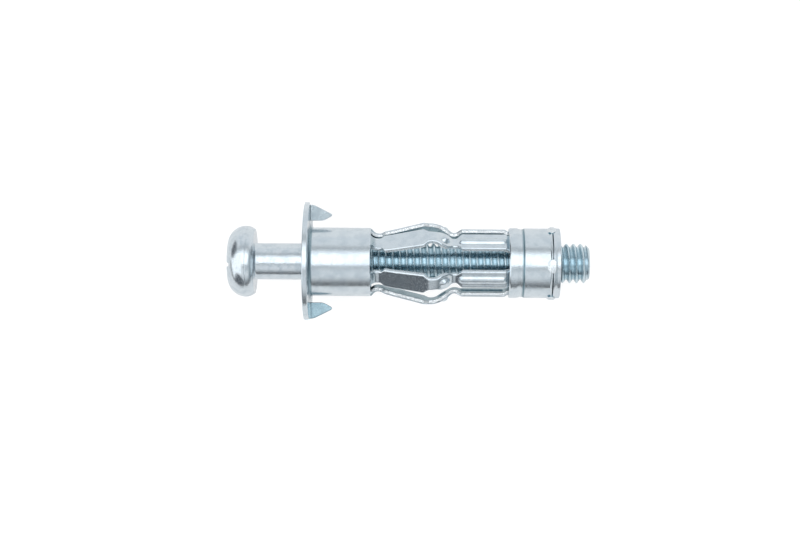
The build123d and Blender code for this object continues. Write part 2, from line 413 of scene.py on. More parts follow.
def arc(centre: Point, radius: float, first: float, last: float, steps: int) -> list[Point]:
    """Points along an arc.

    Args:
        centre: Its centre.
        radius: Its radius.
        first: Its first point's angle from +x, in degrees.
        last: Its last point's angle.
        steps: How many steps it has.

    Returns:
        Its points, ends included.
    """
    made: list[Point] = []
    for step in range(steps + 1):
        angle = math.radians(first + (last - first) * step / steps)
        made.append((centre[0] + radius * math.cos(angle), centre[1] + radius * math.sin(angle)))
    return made


def resampled(line: Sequence[Point], spacing: float) -> list[Point]:
    """The same line with even steps.

    Args:
        line: The line's points.
        spacing: About how far apart the new points lie.

    Returns:
        The new points, ends included.
    """
    lengths = [0.0]
    for (ax, ay), (bx, by) in zip(line, line[1:]):
        lengths.append(lengths[-1] + math.hypot(bx - ax, by - ay))
    count = max(2, round(lengths[-1] / spacing))
    made: list[Point] = []
    span = 0
    for step in range(count + 1):
        wanted = lengths[-1] * step / count
        while span < len(line) - 2 and lengths[span + 1] < wanted:
            span += 1
        share = (wanted - lengths[span]) / (lengths[span + 1] - lengths[span])
        (ax, ay), (bx, by) = line[span], line[span + 1]
        made.append((ax + (bx - ax) * share, ay + (by - ay) * share))
    return made


def height_at(line: Sequence[Point], place: float) -> float:
    """Reads a line that runs steadily along x.

    Args:
        line: The line's points.
        place: Where to read it.

    Returns:
        Its height there, held level past its ends.
    """
    if place <= line[0][0]:
        return line[0][1]
    for (ax, ay), (bx, by) in zip(line, line[1:]):
        if place <= bx:
            return ay + (by - ay) * (place - ax) / max(bx - ax, NO_LENGTH)
    return line[-1][1]


def smooth(value: float, low: float, high: float) -> float:
    """A smooth step from 0 at low to 1 at high."""
    share = min(max((value - low) / (high - low), 0.0), 1.0)
    return share * share * (3 - 2 * share)


def within(value: float, span: Span) -> float:
    """1 inside a span and 0 outside it, with a smooth step at either end."""
    rise, fall = span
    return smooth(value, *rise) * (1 - smooth(value, *fall))


@dataclass(frozen=True)
class Marks:
    """What a point of a surface is, each from 0 to 1.

    The plate is the same zinc everywhere. The marks that darken it are painted shade:
    in narrow corners, creases, seams, bores and the recess, and on open faces, such as the
    prongs, the legs' inner faces and the thread's flanks, where they stand in for the dark
    things that the metal mirrors in one view. The thread's blue is painted light too.

    Attributes:
        cut: A sheared edge of the sheet, paler partly as bare steel and partly as a painted
            highlight.
        inside: Painted shade on the sheet's inner side and in the bores, and on faces made as
            dark.
        painted_shade: Darker painted shade in narrow corners, creases, seams and the recess, and
            on faces that mirror dark things.
        threaded: The rolled thread, made bluer by painted light that stands in for light bounced
            between its turns.
    """

    cut: float = 0.0
    inside: float = 0.0
    painted_shade: float = 0.0
    threaded: float = 0.0


PLAIN = Marks()


@dataclass
class Shell:
    """A mesh in the making: its points, its faces and the marks on its points."""

    points: list[Vector] = field(default_factory=list)
    faces: list[tuple[int, ...]] = field(default_factory=list)
    marks: list[Marks] = field(default_factory=list)

    def add(self, point: Vector, marks: Marks = PLAIN) -> int:
        """Adds a point.

        Args:
            point: Its place.
            marks: What kind of surface it lies on.

        Returns:
            Its number.
        """
        self.points.append(point)
        self.marks.append(marks)
        return len(self.points) - 1

    def skin(self, rows: Sequence[Sequence[int]], closed_rows: bool, closed_columns: bool) -> None:
        """Joins rows of points with faces.

        Args:
            rows: The points' numbers, row by row.
            closed_rows: Whether each row is a ring.
            closed_columns: Whether the last row joins the first.
        """
        row_count, column_count = len(rows), len(rows[0])
        for r in range(row_count if closed_columns else row_count - 1):
            here, there = rows[r], rows[(r + 1) % row_count]
            for c in range(column_count if closed_rows else column_count - 1):
                d = (c + 1) % column_count
                self.faces.append((here[c], here[d], there[d], there[c]))

    def mesh(self, name: str) -> bpy.types.Mesh:
        """Makes a Blender mesh, still in millimetres along the axis.

        Args:
            name: The mesh's name.

        Returns:
            The mesh, its doubles merged and its faces pointing outwards.
        """
        made = bpy.data.meshes.new(name)
        made.from_pydata(self.points, [], self.faces)
        for mark in fields(Marks):
            values = [getattr(marks, mark.name) for marks in self.marks]
            made.attributes.new(mark.name, "FLOAT", "POINT").data.foreach_set("value", values)
        return tidied(made)


def tidied(mesh: bpy.types.Mesh, sharp_angle: float = SHARP_ANGLE) -> bpy.types.Mesh:
    """Closes a mesh's seams, points its faces outwards and shades it.

    Args:
        mesh: The mesh, which is changed.
        sharp_angle: Edges that turn more than this stay sharp, in degrees.

    Returns:
        The same mesh.
    """
    work = bmesh.new()
    work.from_mesh(mesh)
    bmesh.ops.remove_doubles(work, verts=work.verts, dist=MERGE_DISTANCE)
    bmesh.ops.dissolve_degenerate(work, edges=work.edges, dist=SHORTEST_EDGE)
    bmesh.ops.recalc_face_normals(work, faces=work.faces)
    work.to_mesh(mesh)
    work.free()
    mesh.shade_smooth()
    mesh.set_sharp_from_angle(angle=math.radians(sharp_angle))
    return mesh


def turned(
    profile: Sequence[Point],
    columns: int,
    closed: bool,
    marking: Callable[[float, float], Marks] = lambda along, radius: PLAIN,
) -> Shell:
    """Turns a profile about the axis.

    Args:
        profile: Points along and away from the axis.
        columns: How many steps the turn has.
        closed: Whether the profile runs back to its start, as a ring's does.
        marking: Gives the marks at a point of the profile.

    Returns:
        The shell, with a single point wherever the profile meets the axis.
    """
    shell = Shell()
    rows = []
    angles = [math.tau * c / columns for c in range(columns)]
    for along, radius in profile:
        marks = marking(along, radius)
        if radius < NO_LENGTH:
            rows.append([shell.add(Vector((along, 0, 0)), marks)] * columns)
            continue
        ring = [Vector((along, radius * math.cos(a), radius * math.sin(a))) for a in angles]
        rows.append([shell.add(point, marks) for point in ring])
    shell.skin(rows, closed_rows=True, closed_columns=closed)
    shell.faces = [tuple(dict.fromkeys(f)) for f in shell.faces]
    return shell


def prism(
    outline: Sequence[Point],
    low: float,
    high: float,
    narrowing: float = 1.0,
    marks: Marks = PLAIN,
) -> Shell:
    """A block with an outline across the axis, from one station to another.

    Args:
        outline: Points across (y) and above (z) the axis.
        low: The station of the first end.
        high: The station of the other end.
        narrowing: How much of its size the other end keeps.
        marks: The marks of its surface, which a cut made with it takes over.

    Returns:
        The closed block.
    """
    shell = Shell()
    near = [shell.add(Vector((low, y, z)), marks) for y, z in outline]
    far = [shell.add(Vector((high, y * narrowing, z * narrowing)), marks) for y, z in outline]
    shell.skin([near, far], closed_rows=True, closed_columns=False)
    shell.faces += [tuple(near), tuple(reversed(far))]
    return shell


def carved(mesh: bpy.types.Mesh, tools: Sequence[bpy.types.Mesh]) -> bpy.types.Mesh:
    """Cuts tools out of a mesh.

    Args:
        mesh: The solid that is cut.
        tools: The solids that are taken away.

    Returns:
        The new mesh.
    """
    body = linked("stock", mesh)
    cutters = [linked("cutter", tool) for tool in tools]
    for cutter in cutters:
        cut = body.modifiers.new("cut", "BOOLEAN")
        cut.operation = "DIFFERENCE"
        cut.solver = "EXACT"
        cut.object = cutter
    made = evaluated_copy(body, mesh.name)
    for spent in [body, *cutters]:
        bpy.data.objects.remove(spent)
    return tidied(made)


def evaluated_copy(piece: bpy.types.Object, name: str) -> bpy.types.Mesh:
    """What an object's modifiers make of it, as a plain mesh.

    Args:
        piece: The object.
        name: The new mesh's name.

    Returns:
        The mesh.
    """
    bpy.context.view_layer.update()
    depsgraph = bpy.context.evaluated_depsgraph_get()
    made = bpy.data.meshes.new_from_object(
        piece.evaluated_get(depsgraph), preserve_all_data_layers=True, depsgraph=depsgraph
    )
    made.name = name
    return made


class GeometryTree:
    """A Geometry Nodes tree with named inputs, run once on a mesh."""

    def __init__(self, name: str) -> None:
        """Starts a tree that takes a mesh and gives one back."""
        self.tree = bpy.data.node_groups.new(name, "GeometryNodeTree")
        self.net = Net(self.tree)
        for in_out in ("OUTPUT", "INPUT"):
            self.tree.interface.new_socket(
                name="Geometry", in_out=in_out, socket_type="NodeSocketGeometry"
            )
        self.source = self.net.node("NodeGroupInput")

    def number(self, name: str, whole: bool = False) -> Value:
        """Adds a named number to the tree's inputs.

        Args:
            name: Its name.
            whole: Whether it is a whole number.

        Returns:
            The number, for sums.
        """
        kind = "NodeSocketInt" if whole else "NodeSocketFloat"
        self.tree.interface.new_socket(name=name, in_out="INPUT", socket_type=kind)
        return self.net.value(self.source.outputs[name])

    @property
    def geometry(self) -> bpy.types.NodeSocket:
        """The mesh that comes in."""
        return self.source.outputs["Geometry"]

    def end(self, geometry: bpy.types.NodeSocket, material: bpy.types.Material) -> None:
        """Ends the tree: instances become a real mesh, which gets its material.

        Args:
            geometry: What the tree has made.
            material: The finish of all of it.
        """
        real = self.net.node("GeometryNodeRealizeInstances", None, {0: geometry})
        dressed = self.net.node(
            "GeometryNodeSetMaterial", None, {"Geometry": real.outputs[0], "Material": material}
        )
        self.net.node("NodeGroupOutput", None, {0: dressed.outputs[0]})

    def run(self, mesh: bpy.types.Mesh, values: Mapping[str, Any]) -> bpy.types.Mesh:
        """Runs the tree on a mesh.

        Args:
            mesh: The mesh that goes in.
            values: The tree's inputs by name.

        Returns:
            What comes out, as a plain mesh.
        """
        carrier = linked(mesh.name, mesh)
        modifier = carrier.modifiers.new(self.tree.name, "NODES")
        modifier.node_group = self.tree
        for item in self.tree.interface.items_tree:
            if item.in_out == "INPUT" and item.name in values:
                modifier[item.identifier] = values[item.name]
        made = evaluated_copy(carrier, mesh.name)
        bpy.data.objects.remove(carrier)
        return made


def ring_of(
    mesh: bpy.types.Mesh, count: int, first_angle: float, material: bpy.types.Material
) -> bpy.types.Mesh:
    """Copies of a piece, evenly round the axis.

    Args:
        mesh: One piece, facing up.
        count: How many there are.
        first_angle: How far the first one turns from up towards +Y, in degrees.
        material: Their finish.

    Returns:
        All of them as one mesh.
    """
    ring = GeometryTree(f"ring_of_{mesh.name}")
    pieces = ring.number("Count", whole=True)
    start = ring.number("First Angle")
    line = ring.net.node(
        "GeometryNodeMeshLine", {"mode": "OFFSET"}, {"Count": pieces, "Offset": (0.0, 0.0, 0.0)}
    )
    index = ring.net.value(ring.net.node("GeometryNodeInputIndex").outputs[0])
    turn = -1 * (start + index * (math.tau / pieces))
    facing = ring.net.vector(x=turn)
    copies = ring.net.node(
        "GeometryNodeInstanceOnPoints",
        None,
        {"Points": line.outputs[0], "Instance": ring.geometry, "Rotation": facing},
    )
    ring.end(copies.outputs[0], material)
    made = ring.run(mesh, {"Count": count, "First Angle": math.radians(first_angle)})
    return tidied(made)


@dataclass(frozen=True)
class Plate:
    """Bright zinc plate over steel.

    A noise is given by its grains to a millimetre and its detail. An edge is the two
    values of a noise between which one look turns into the other.

    Attributes:
        name: The material's name.
        colour: The plate's own colour.
        shade: The colour of its duller patches.
        roughness: How rough the plate is, from its brightest to its dullest patches.
        grain: How deep its fine grain is, in millimetres.
        draw: How much longer the grain is along the axis than across it.
        mottle: The size of its patches, in millimetres.
        cut_colour: The colour of a sheared edge, partly bare steel and partly a painted highlight.
        inner_shade_colour: The painted shade of what is marked inside.
        painted_shade_colour: The darker painted shade of corners, creases and faces that mirror
            dark things.
        thread_colour: The rolled thread's painted bluer colour, for light bounced between its
            turns.
        thread_tint: How much of that painted colour the thread gets.
        inner_shade_tint: How much of its painted shade the inside mark gives.
        cut_tint: How much of its colour a burnished edge gets.
        torn_loss: How much less of it a torn edge gets.
        patch_detail: The detail of the patches' noise.
        patch_edge: Where a patch turns from bright to dull.
        fine_noise: The noise of the fine grain.
        pit_noise: The noise of the pits.
        pit_edge: Where a pit sets in.
        torn_noise: The noise along a sheared edge.
        torn_edge: Where a sheared edge turns from burnished to torn.
        fine_rough: How far the fine grain changes the roughness.
        pit_rough: How much rougher a pit is.
        cut_rough: How much rougher a sheared edge is.
        torn_rough: How much rougher than that it is where it is torn.
        painted_shade_rough: How much rougher it is where it has the darker painted shade.
        least_rough: The least roughness anywhere.
        cut_grain: How much deeper the grain is on a sheared edge.
        pit_depth: How deep a pit is, in depths of the grain.
        patch_height: How far a patch stands out, in depths of the grain.
        torn_height: How far a torn edge stands out, in depths of the grain.
    """

    name: str
    colour: Colour
    shade: Colour
    roughness: Point
    grain: float
    draw: float
    mottle: float

    cut_colour: Colour = (0.93, 0.95, 0.96)
    inner_shade_colour: Colour = (0.36, 0.51, 0.57)
    painted_shade_colour: Colour = (0.09, 0.2, 0.25)
    thread_colour: Colour = (0.62, 0.75, 0.81)
    thread_tint: float = 0.9
    inner_shade_tint: float = 0.85
    cut_tint: float = 0.95
    torn_loss: float = 0.3

    patch_detail: float = 3.0
    patch_edge: Point = (0.42, 0.66)
    fine_noise: Point = (7.0, 5.0)
    pit_noise: Point = (16.0, 2.0)
    pit_edge: Point = (0.62, 0.74)
    torn_noise: Point = (9.0, 4.0)
    torn_edge: Point = (0.46, 0.6)

    fine_rough: float = 0.08
    pit_rough: float = 0.1
    cut_rough: float = 0.08
    torn_rough: float = 0.16
    painted_shade_rough: float = 0.2
    least_rough: float = 0.05

    cut_grain: float = 1.5
    pit_depth: float = 0.8
    patch_height: float = 0.6
    torn_height: float = 2.0

    def material(self) -> bpy.types.Material:
        """Builds the material.

        Returns:
            The plate: paler and rougher on sheared edges, partly as a painted highlight, with
            painted shade on the sheet's inner side, in narrow corners and on faces that mirror
            dark things, and a painted blue on the thread.
        """
        made = bpy.data.materials.new(self.name)
        net = emptied(made)
        along = self._axis_coordinates(net)
        patches = self._noise(net, along, 1 / self.mottle, self.patch_detail)
        fine = self._noise(net, self._stretched(net, along), *self.fine_noise)
        pits = self._noise(net, along, *self.pit_noise).step(*self.pit_edge)
        cut, inside, painted_shade, threaded = (self._mark(net, mark.name) for mark in fields(Marks))
        dull = patches.step(*self.patch_edge)
        torn = self._noise(net, along, *self.torn_noise).step(*self.torn_edge)

        colour = net.mixed(dull, (*self.colour, 1), (*self.shade, 1))
        # Painted light: the inside and darker shade marks mix in painted shade, the thread mark a
        # painted blue, and the cut mark partly a painted highlight.
        tints = (
            (threaded * self.thread_tint, self.thread_colour),
            (inside * self.inner_shade_tint, self.inner_shade_colour),
            (cut * (self.cut_tint - self.torn_loss * torn), self.cut_colour),
            (painted_shade, self.painted_shade_colour),
        )
        for share, tint in tints:
            colour = net.mixed(share, colour, (*tint, 1))

        low, high = self.roughness
        rough = low + (high - low) * dull + self.fine_rough * (fine - 0.5)
        rough = rough + self.pit_rough * pits
        rough = rough + cut * (self.cut_rough + self.torn_rough * torn)
        rough = (rough + painted_shade * self.painted_shade_rough).at_least(self.least_rough)

        relief = fine * (1 + self.cut_grain * cut) + pits * -self.pit_depth
        relief = relief + self.patch_height * patches + cut * torn * self.torn_height
        bump = net.node(
            "ShaderNodeBump",
            None,
            {"Strength": 1.0, "Distance": self.grain * MM, "Height": relief},
        )
        shader = net.node(
            "ShaderNodeBsdfPrincipled",
            None,
            {
                "Base Color": colour,
                "Metallic": 1.0,
                "Roughness": rough,
                "Normal": bump.outputs[0],
            },
        )
        net.node("ShaderNodeOutputMaterial", None, {"Surface": shader.outputs[0]})
        return made

    def _axis_coordinates(self, net: Net) -> bpy.types.NodeSocket:
        """Adds the anchor's own coordinates, in millimetres.

        Args:
            net: The material's tree.

        Returns:
            How far along, across and above the axis a point of the surface is.
        """
        place = net.node("ShaderNodeTexCoord").outputs["Object"]
        from_origin = net.node(
            "ShaderNodeVectorMath", {"operation": "SUBTRACT"}, {0: place, 1: AXIS.origin}
        )
        return net.node(
            "ShaderNodeMapping",
            {"vector_type": "POINT"},
            {
                "Vector": from_origin.outputs[0],
                "Rotation": (0.0, -AXIS.lean, 0.0),
                "Scale": (1 / MM, 1 / MM, 1 / MM),
            },
        ).outputs[0]

    def _stretched(self, net: Net, along: bpy.types.NodeSocket) -> bpy.types.NodeSocket:
        """The same coordinates, drawn out along the axis."""
        return net.node(
            "ShaderNodeMapping",
            {"vector_type": "POINT"},
            {"Vector": along, "Scale": (1 / self.draw, 1.0, 1.0)},
        ).outputs[0]

    def _noise(
        self, net: Net, place: bpy.types.NodeSocket, scale: float, detail: float
    ) -> Value:
        """Adds noise.

        Args:
            net: The material's tree.
            place: The coordinates that it is read at.
            scale: How many grains it has to a millimetre.
            detail: How fine its finest grains are.

        Returns:
            The noise, between 0 and 1.
        """
        made = net.node(
            "ShaderNodeTexNoise", None, {"Vector": place, "Scale": scale, "Detail": detail}
        )
        return net.value(made.outputs[0])

    def _mark(self, net: Net, name: str) -> Value:
        """A mark on the mesh's points."""
        made = net.node("ShaderNodeAttribute", {"attribute_name": name})
        return net.value(made.outputs["Fac"])


SHEET_PLATE = Plate(
    name="sheet_zinc",
    colour=(0.65, 0.715, 0.755),
    shade=(0.59, 0.66, 0.71),
    roughness=(0.13, 0.22),
    grain=0.012,
    draw=2.0,
    mottle=1.4,
)
NUT_PLATE = Plate(
    name="turned_zinc",
    colour=(0.67, 0.725, 0.765),
    shade=(0.6, 0.67, 0.72),
    roughness=(0.16, 0.26),
    grain=0.012,
    draw=0.5,
    mottle=1.1,
)
SCREW_PLATE = Plate(
    name="headed_zinc",
    colour=(0.655, 0.715, 0.755),
    shade=(0.58, 0.65, 0.7),
    roughness=(0.12, 0.22),
    grain=0.014,
    draw=1.6,
    mottle=0.9,
)


@dataclass
class Piece:
    """A finished piece: its name, its mesh along the axis, and what it belongs to."""

    name: str
    mesh: bpy.types.Mesh
    plate: bpy.types.Material
    body: Body
    slot: Slot
    node: str

    def place(self) -> bpy.types.Object:
        """Puts the piece into the frame, on its body.

        Returns:
            The object, at the origin, with its place in its mesh.
        """
        self.mesh.materials.clear()
        self.mesh.materials.append(self.plate)
        for face in self.mesh.polygons:
            face.material_index = 0
        self.mesh.transform(AXIS.placement())
        made = linked(self.name, self.mesh)
        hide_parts(self.node)
        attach(made, self.body.value)
        triangles = sum(len(f.vertices) - 2 for f in self.mesh.polygons)
        log.info("%s: %d triangles on %s", self.name, triangles, self.body.value)
        return made


@dataclass
class PressedStrip:
    """A strip of sheet that follows a bent path, as wide as its limits say.

    Attributes:
        path: Points along (x) and above (z) the axis that its outer face follows.
        limits: Gives the strip's two edges (y) at a station.
        thickness: The sheet's thickness.
        edge_round: The round that shearing leaves along the outer face's edges.
        relief: How far its outer face stands out at a station and a distance across.
        hollow: The same for its inner face.
        bow: How far both faces are moved outwards there.
        shade: How much painted shade its outer face gets at a station.
        across: How many steps its faces have from edge to edge.
        fracture: How far the torn part of the edge draws in towards the inner face.
        round_angles: Where the points of the round lie on it, in degrees.
        round_share: The most of the strip's width that the round takes up.
        burnished: How far below the round the burnished part starts and ends.
        torn_shares: How much of the torn part's draw lies at its start and at its end.
        burr: The height and width of the edge's last step, at the inner face.
        face: The marks of its outer face.
        back: The marks of its inner face, painted shade unless given.
        edge: The marks of its edges.
    """

    path: Sequence[Point]
    limits: Callable[[float], Point]
    thickness: float
    edge_round: float
    relief: Callable[[float, float], float] = lambda station, across: 0.0
    hollow: Callable[[float, float], float] = lambda station, across: 0.0
    bow: Callable[[float, float], float] = lambda station, across: 0.0
    shade: Callable[[float], float] = lambda station: 0.0
    across: int = 12
    fracture: float = 0.08
    round_angles: Sequence[int] = range(15, 91, 15)
    round_share: float = 0.35
    burnished: Point = (0.04, 0.09)
    torn_shares: Point = (0.15, 0.85)
    burr: float = 0.03
    face: Marks = PLAIN
    back: Marks = Marks(inside=1.0)
    edge: Marks = Marks(cut=1.0)

    def _side(self, rolled: float, face: Marks) -> list[tuple[float, float, Marks]]:
        """One edge of the strip, from its outer face to its inner one.

        Args:
            rolled: The radius of its round.
            face: The marks of its round.

        Returns:
            For each point its distance in from the edge, its depth, and its marks.
        """
        deep, torn = self.thickness, self.fracture
        side = [
            (rolled * (1 - math.sin(angle)), rolled * (1 - math.cos(angle)), face)
            for angle in map(math.radians, self.round_angles)
        ]
        side += [
            (0.0, rolled + self.burnished[0], self.edge),
            (torn * self.torn_shares[0], rolled + self.burnished[1], self.edge),
            (torn * self.torn_shares[1], deep - self.burr, self.edge),
            (torn + self.burr, deep, self.back),
        ]
        return side

    def _section(self, station: float) -> list[tuple[float, float, Marks]]:
        """The strip's outline at a station.

        Args:
            station: Where along its path.

        Returns:
            For each point its place across, its depth, and its marks.
        """
        low, high = self.limits(station)
        rolled = min(self.edge_round, self.round_share * (high - low))
        flat = [
            low + rolled + (high - low - 2 * rolled) * c / self.across
            for c in range(self.across + 1)
        ]
        # Painted shade on the outer face, as much as shade gives at this station.
        face = replace(self.face, painted_shade=max(self.face.painted_shade, self.shade(station)))
        side = self._side(rolled, face)
        outline = [(y, -self.relief(station, y), face) for y in flat]
        outline += [(high - inset, down, marks) for inset, down, marks in side]
        outline += [
            (y, self.thickness - self.hollow(station, y), self.back) for y in reversed(flat)
        ]
        outline += [(low + inset, down, marks) for inset, down, marks in reversed(side)]
        return outline

    def shell(self) -> Shell:
        """Builds the strip.

        Returns:
            The closed strip.
        """
        shell = Shell()
        rows = []
        last = len(self.path) - 1
        for place, (along, up) in enumerate(self.path):
            before, after = self.path[max(place - 1, 0)], self.path[min(place + 1, last)]
            tangent = Vector((after[0] - before[0], after[1] - before[1])).normalized()
            outward = Vector((-tangent.y, tangent.x))
            row = []
            for across, depth, marks in self._section(along):
                lift = self.bow(along, across) - depth
                spot = Vector((along + outward.x * lift, across, up + outward.y * lift))
                row.append(shell.add(spot, marks))
            rows.append(row)
        shell.skin(rows, closed_rows=True, closed_columns=False)
        shell.faces += [tuple(rows[0]), tuple(reversed(rows[-1]))]
        return shell


@dataclass
class Sleeve:
    """The pressed sheet sleeve: flange, prongs, barrel, legs, collar and lugs.

    Sizes are in millimetres and angles in degrees. A station is a distance along the
    axis from the flange's wall face. A corner of a leg's path is a station, a height
    above the axis and the radius of its round. A corner of a width is a station, half
    the width there and the radius of its round.

    Attributes:
        sheet: The sheet's thickness.
        columns: How many steps the round pieces have in a turn.
        inner_round: The round of the sheet's ends at a bore.
        outer_round: The round of the sheet's ends at its outer face.
        barrel_radius: The barrel's radius.
        barrel_length: The station where the barrel ends.
        flange_radius: The flange's radius.
        flange_face: The station of the flange's front.
        flange_bend: The bend between the barrel and the flange.
        rim_round: The round of the flange's rim.
        bend_dark: How strong the painted shade in that bend is.
        bend_stations: The stations of that painted shade.
        bend_radii: Where that painted shade fades out on the flange.
        prong_turn: How far the prong at +Y is turned down from the side.
        prong_length: How far the prongs reach behind the flange.
        prong_foot: The distances of a prong's two edges from the axis, at its foot.
        prong_root: The station where its edges start, inside the fold.
        prong_taper: For each edge the station and the round of its bend inwards.
        prong_reach: The station that both edges run to.
        prong_point: The distances of its two edges from the axis there.
        prong_end: The station where its point starts to be rounded off.
        prong_blunt: How much of its width it keeps at its very end.
        prong_fold: How much wider its fold is than the sheet is thick.
        prong_heel: How far the fold's other side runs on up the flange.
        prong_edge_round: The round of its edges.
        prong_step: The steps along it.
        prong_face: The marks of its face on the outer side of the fold, painted shade for the dark
            things it mirrors.
        prong_back: The marks of its face on the inner side of the fold, a painted pale tone and
            painted shade for what it mirrors.
        bite_length: How far the bite beside a prong reaches down from it.
        bite_tip: How far from the axis the bite starts at its lower end.
        bite_end: The station where the bite ends.
        leg_count: How many legs there are.
        first_leg: How far the first leg is turned from up towards +Y.
        leg_sink: How far a leg's root lies under the barrel's face.
        leg_lap: How far its root reaches back into the barrel.
        leg_lead: How far behind the barrel it bends down, and the round there.
        neck: The corner of its neck.
        knee: The corner of its knee.
        waist: The corner of its waist.
        rail: The corner where its rail starts.
        rail_dip: The corner where its rail has stepped down to run in under the collar.
        dip_slope: How long that step is, and the round at its start.
        leg_tail: How far the rail runs in under the collar.
        leg_sag: How far the bent part of all legs is shifted towards -Y, for the view.
        sag_span: The stations of that shift.
        leg_width: The corners of a leg's width.
        leg_edge_round: The round of its edges.
        leg_step: The steps along it.
        leg_bend_turn: The most that one step of its bends turns.
        leg_across: The steps from one of its edges to the other.
        leg_back: The marks of its inner face, painted shade.
        leg_curve: The stations between which it loses the barrel's curve.
        neck_dark: How strong the painted shade in the hollow of its neck is.
        neck_span: The stations of that painted shade.
        dimple: The station of the dimple's middle, and its radius.
        dimple_crown: The radius of the dimple's flat middle.
        dimple_rise: The dimple's height.
        rib_span: The stations of the rib's two ends.
        rib_width: The rib's width.
        rib_rise: The rib's height.
        rib_crown: How much of its width is flat.
        hollow_depth: How much of the rib and dimple the inner face repeats.
        hollow_spread: How much narrower they are there.
        collar_start: The station where the collar starts.
        collar_end: The station where the seam to the nut's ring lies.
        collar_radius: The collar's radius.
        collar_roll: Its rolled front and groove, from its start and its radius.
        bead_radius: The bead's radius.
        bead_foot: How far before the collar's end the bead rises, and the round there.
        bead: The bead, from the collar's end and the bead's radius.
        seam: How far before that station the collar stops.
        seam_dark: How deep the painted shade in the seam is.
        seam_radii: Where that painted shade fades out on the bead.
        groove_dark: How strong the painted shade on the groove's steep side is.
        groove_span: Its stations, from the collar's start.
        foot_dark: How strong the painted shade on the groove's front side is.
        foot_span: Its stations, from the collar's start.
        lug_count: How many lugs there are.
        first_lug: How far the first lug is turned from up towards +Y.
        lug_length: A lug's length.
        lug_reach: How far it reaches past the collar's end.
        lug_rise: How far it stands out over the bead.
        lug_sheet: Its thickness.
        lug_sink: How far its start lies under the collar's face.
        lug_form: Its outer face, from its start and its crown.
        lug_width: The corners of its width, from its start.
        lug_blunt: The least half of its width.
        lug_edge_round: The round of its edges.
        lug_flare: How far its edges flare out towards the collar.
        lug_step: The steps along it.
        lug_across: The steps from one of its edges to the other.
        lug_face: The marks of its outer face.
        lug_edge: The marks of its edges, painted shade that outlines the lug.
    """

    sheet: float = 0.65
    columns: int = 128
    inner_round: float = 0.05
    outer_round: float = 0.1

    barrel_radius: float = 4.9
    barrel_length: float = 8.7
    flange_radius: float = 8.575
    flange_face: float = -0.75
    flange_bend: float = 0.5
    rim_round: float = 0.14
    # Painted shade in the bend between barrel and flange.
    bend_dark: float = 0.7
    bend_stations: Span = ((-0.05, 0.03), (0.3, 0.5))
    bend_radii: Point = (5.6, 6.4)

    prong_turn: float = -2.16
    prong_length: float = 3.15
    prong_foot: Point = (5.85, 8.2)
    prong_root: float = -1.0
    prong_taper: tuple[Point, Point] = ((1.9, 1.6), (0.5, 1.5))
    prong_reach: float = 3.2
    prong_point: Point = (6.56, 6.84)
    prong_end: float = 3.0
    prong_blunt: float = 0.12
    prong_fold: float = 0.2
    prong_heel: float = 1.4
    prong_edge_round: float = 0.12
    prong_step: float = 0.06
    # Painted shade on the prongs' flat faces, and a painted pale tone on their backs.
    prong_face: Marks = Marks(inside=0.7, painted_shade=0.45)
    prong_back: Marks = Marks(cut=0.6, painted_shade=0.4)
    bite_length: float = 2.6
    bite_tip: float = 6.7
    bite_end: float = 0.4

    leg_count: int = 5
    first_leg: float = 40.5
    leg_sink: float = 0.004
    leg_lap: float = 0.12
    leg_lead: Point = (0.1, 0.35)
    neck: Corner = (9.5, 4.03, 0.9)
    knee: Corner = (17.75, 6.13, 2.8)
    waist: Corner = (20.55, 4.3, 0.8)
    rail: Corner = (21.6, 4.7, 0.9)
    rail_dip: Corner = (28.3, 4.38, 0.15)
    dip_slope: Point = (0.45, 0.25)
    leg_tail: float = 0.5
    leg_sag: float = 0.1
    sag_span: Span = ((9.0, 12.0), (19.0, 21.5))
    leg_width: tuple[Corner, ...] = (
        (8.4, 1.55, 0.0),
        (8.95, 1.0, 0.3),
        (10.2, 1.0, 0.3),
        (10.65, 1.42, 0.3),
        (16.2, 1.55, 0.3),
        (16.95, 0.95, 0.9),
        (18.2, 0.95, 0.9),
        (18.85, 1.2, 0.35),
        (19.7, 1.2, 0.4),
        (20.35, 0.8, 0.5),
        (20.9, 0.8, 0.35),
        (21.65, 1.4, 0.45),
        (28.8, 1.4, 0.0),
    )
    leg_edge_round: float = 0.26
    leg_step: float = 0.1
    leg_bend_turn: float = 4.0
    leg_across: int = 20
    # Painted shade on the legs' inner faces and in the hollow of their necks.
    leg_back: Marks = Marks(inside=1.0, painted_shade=0.35)
    leg_curve: Point = (8.75, 9.9)
    neck_dark: float = 0.4
    neck_span: Span = ((8.6, 8.9), (9.2, 9.6))
    dimple: Point = (19.25, 0.78)
    dimple_crown: float = 0.1
    dimple_rise: float = 0.45
    rib_span: Point = (21.15, 28.05)
    rib_width: float = 1.3
    rib_rise: float = 0.27
    rib_crown: float = 0.25
    hollow_depth: float = 0.7
    hollow_spread: float = 1.3

    collar_start: float = 28.35
    collar_end: float = 34.5
    collar_radius: float = 4.975
    collar_roll: tuple[Corner, ...] = (
        (0.0, -0.1, 0.1),
        (0.2, 0.03, 0.2),
        (1.1, 0.03, 0.7),
        (1.7, -0.13, 0.5),
        (2.07, -0.13, 0.08),
        (2.2, 0.0, 0.08),
    )
    bead_radius: float = 5.2
    bead_foot: Point = (0.3, 0.1)
    bead: tuple[Corner, ...] = ((-0.13, 0.0, 0.08), (-0.04, 0.0, 0.03), (0.0, -0.1, 0.05))
    seam: float = 0.05
    # Painted shade in the seam and on the groove's sides.
    seam_dark: float = 0.02
    seam_radii: Point = (5.08, 5.18)
    groove_dark: float = 0.85
    groove_span: Span = ((1.92, 2.05), (2.14, 2.24))
    foot_dark: float = 0.25
    foot_span: Span = ((1.15, 1.35), (1.4, 1.6))

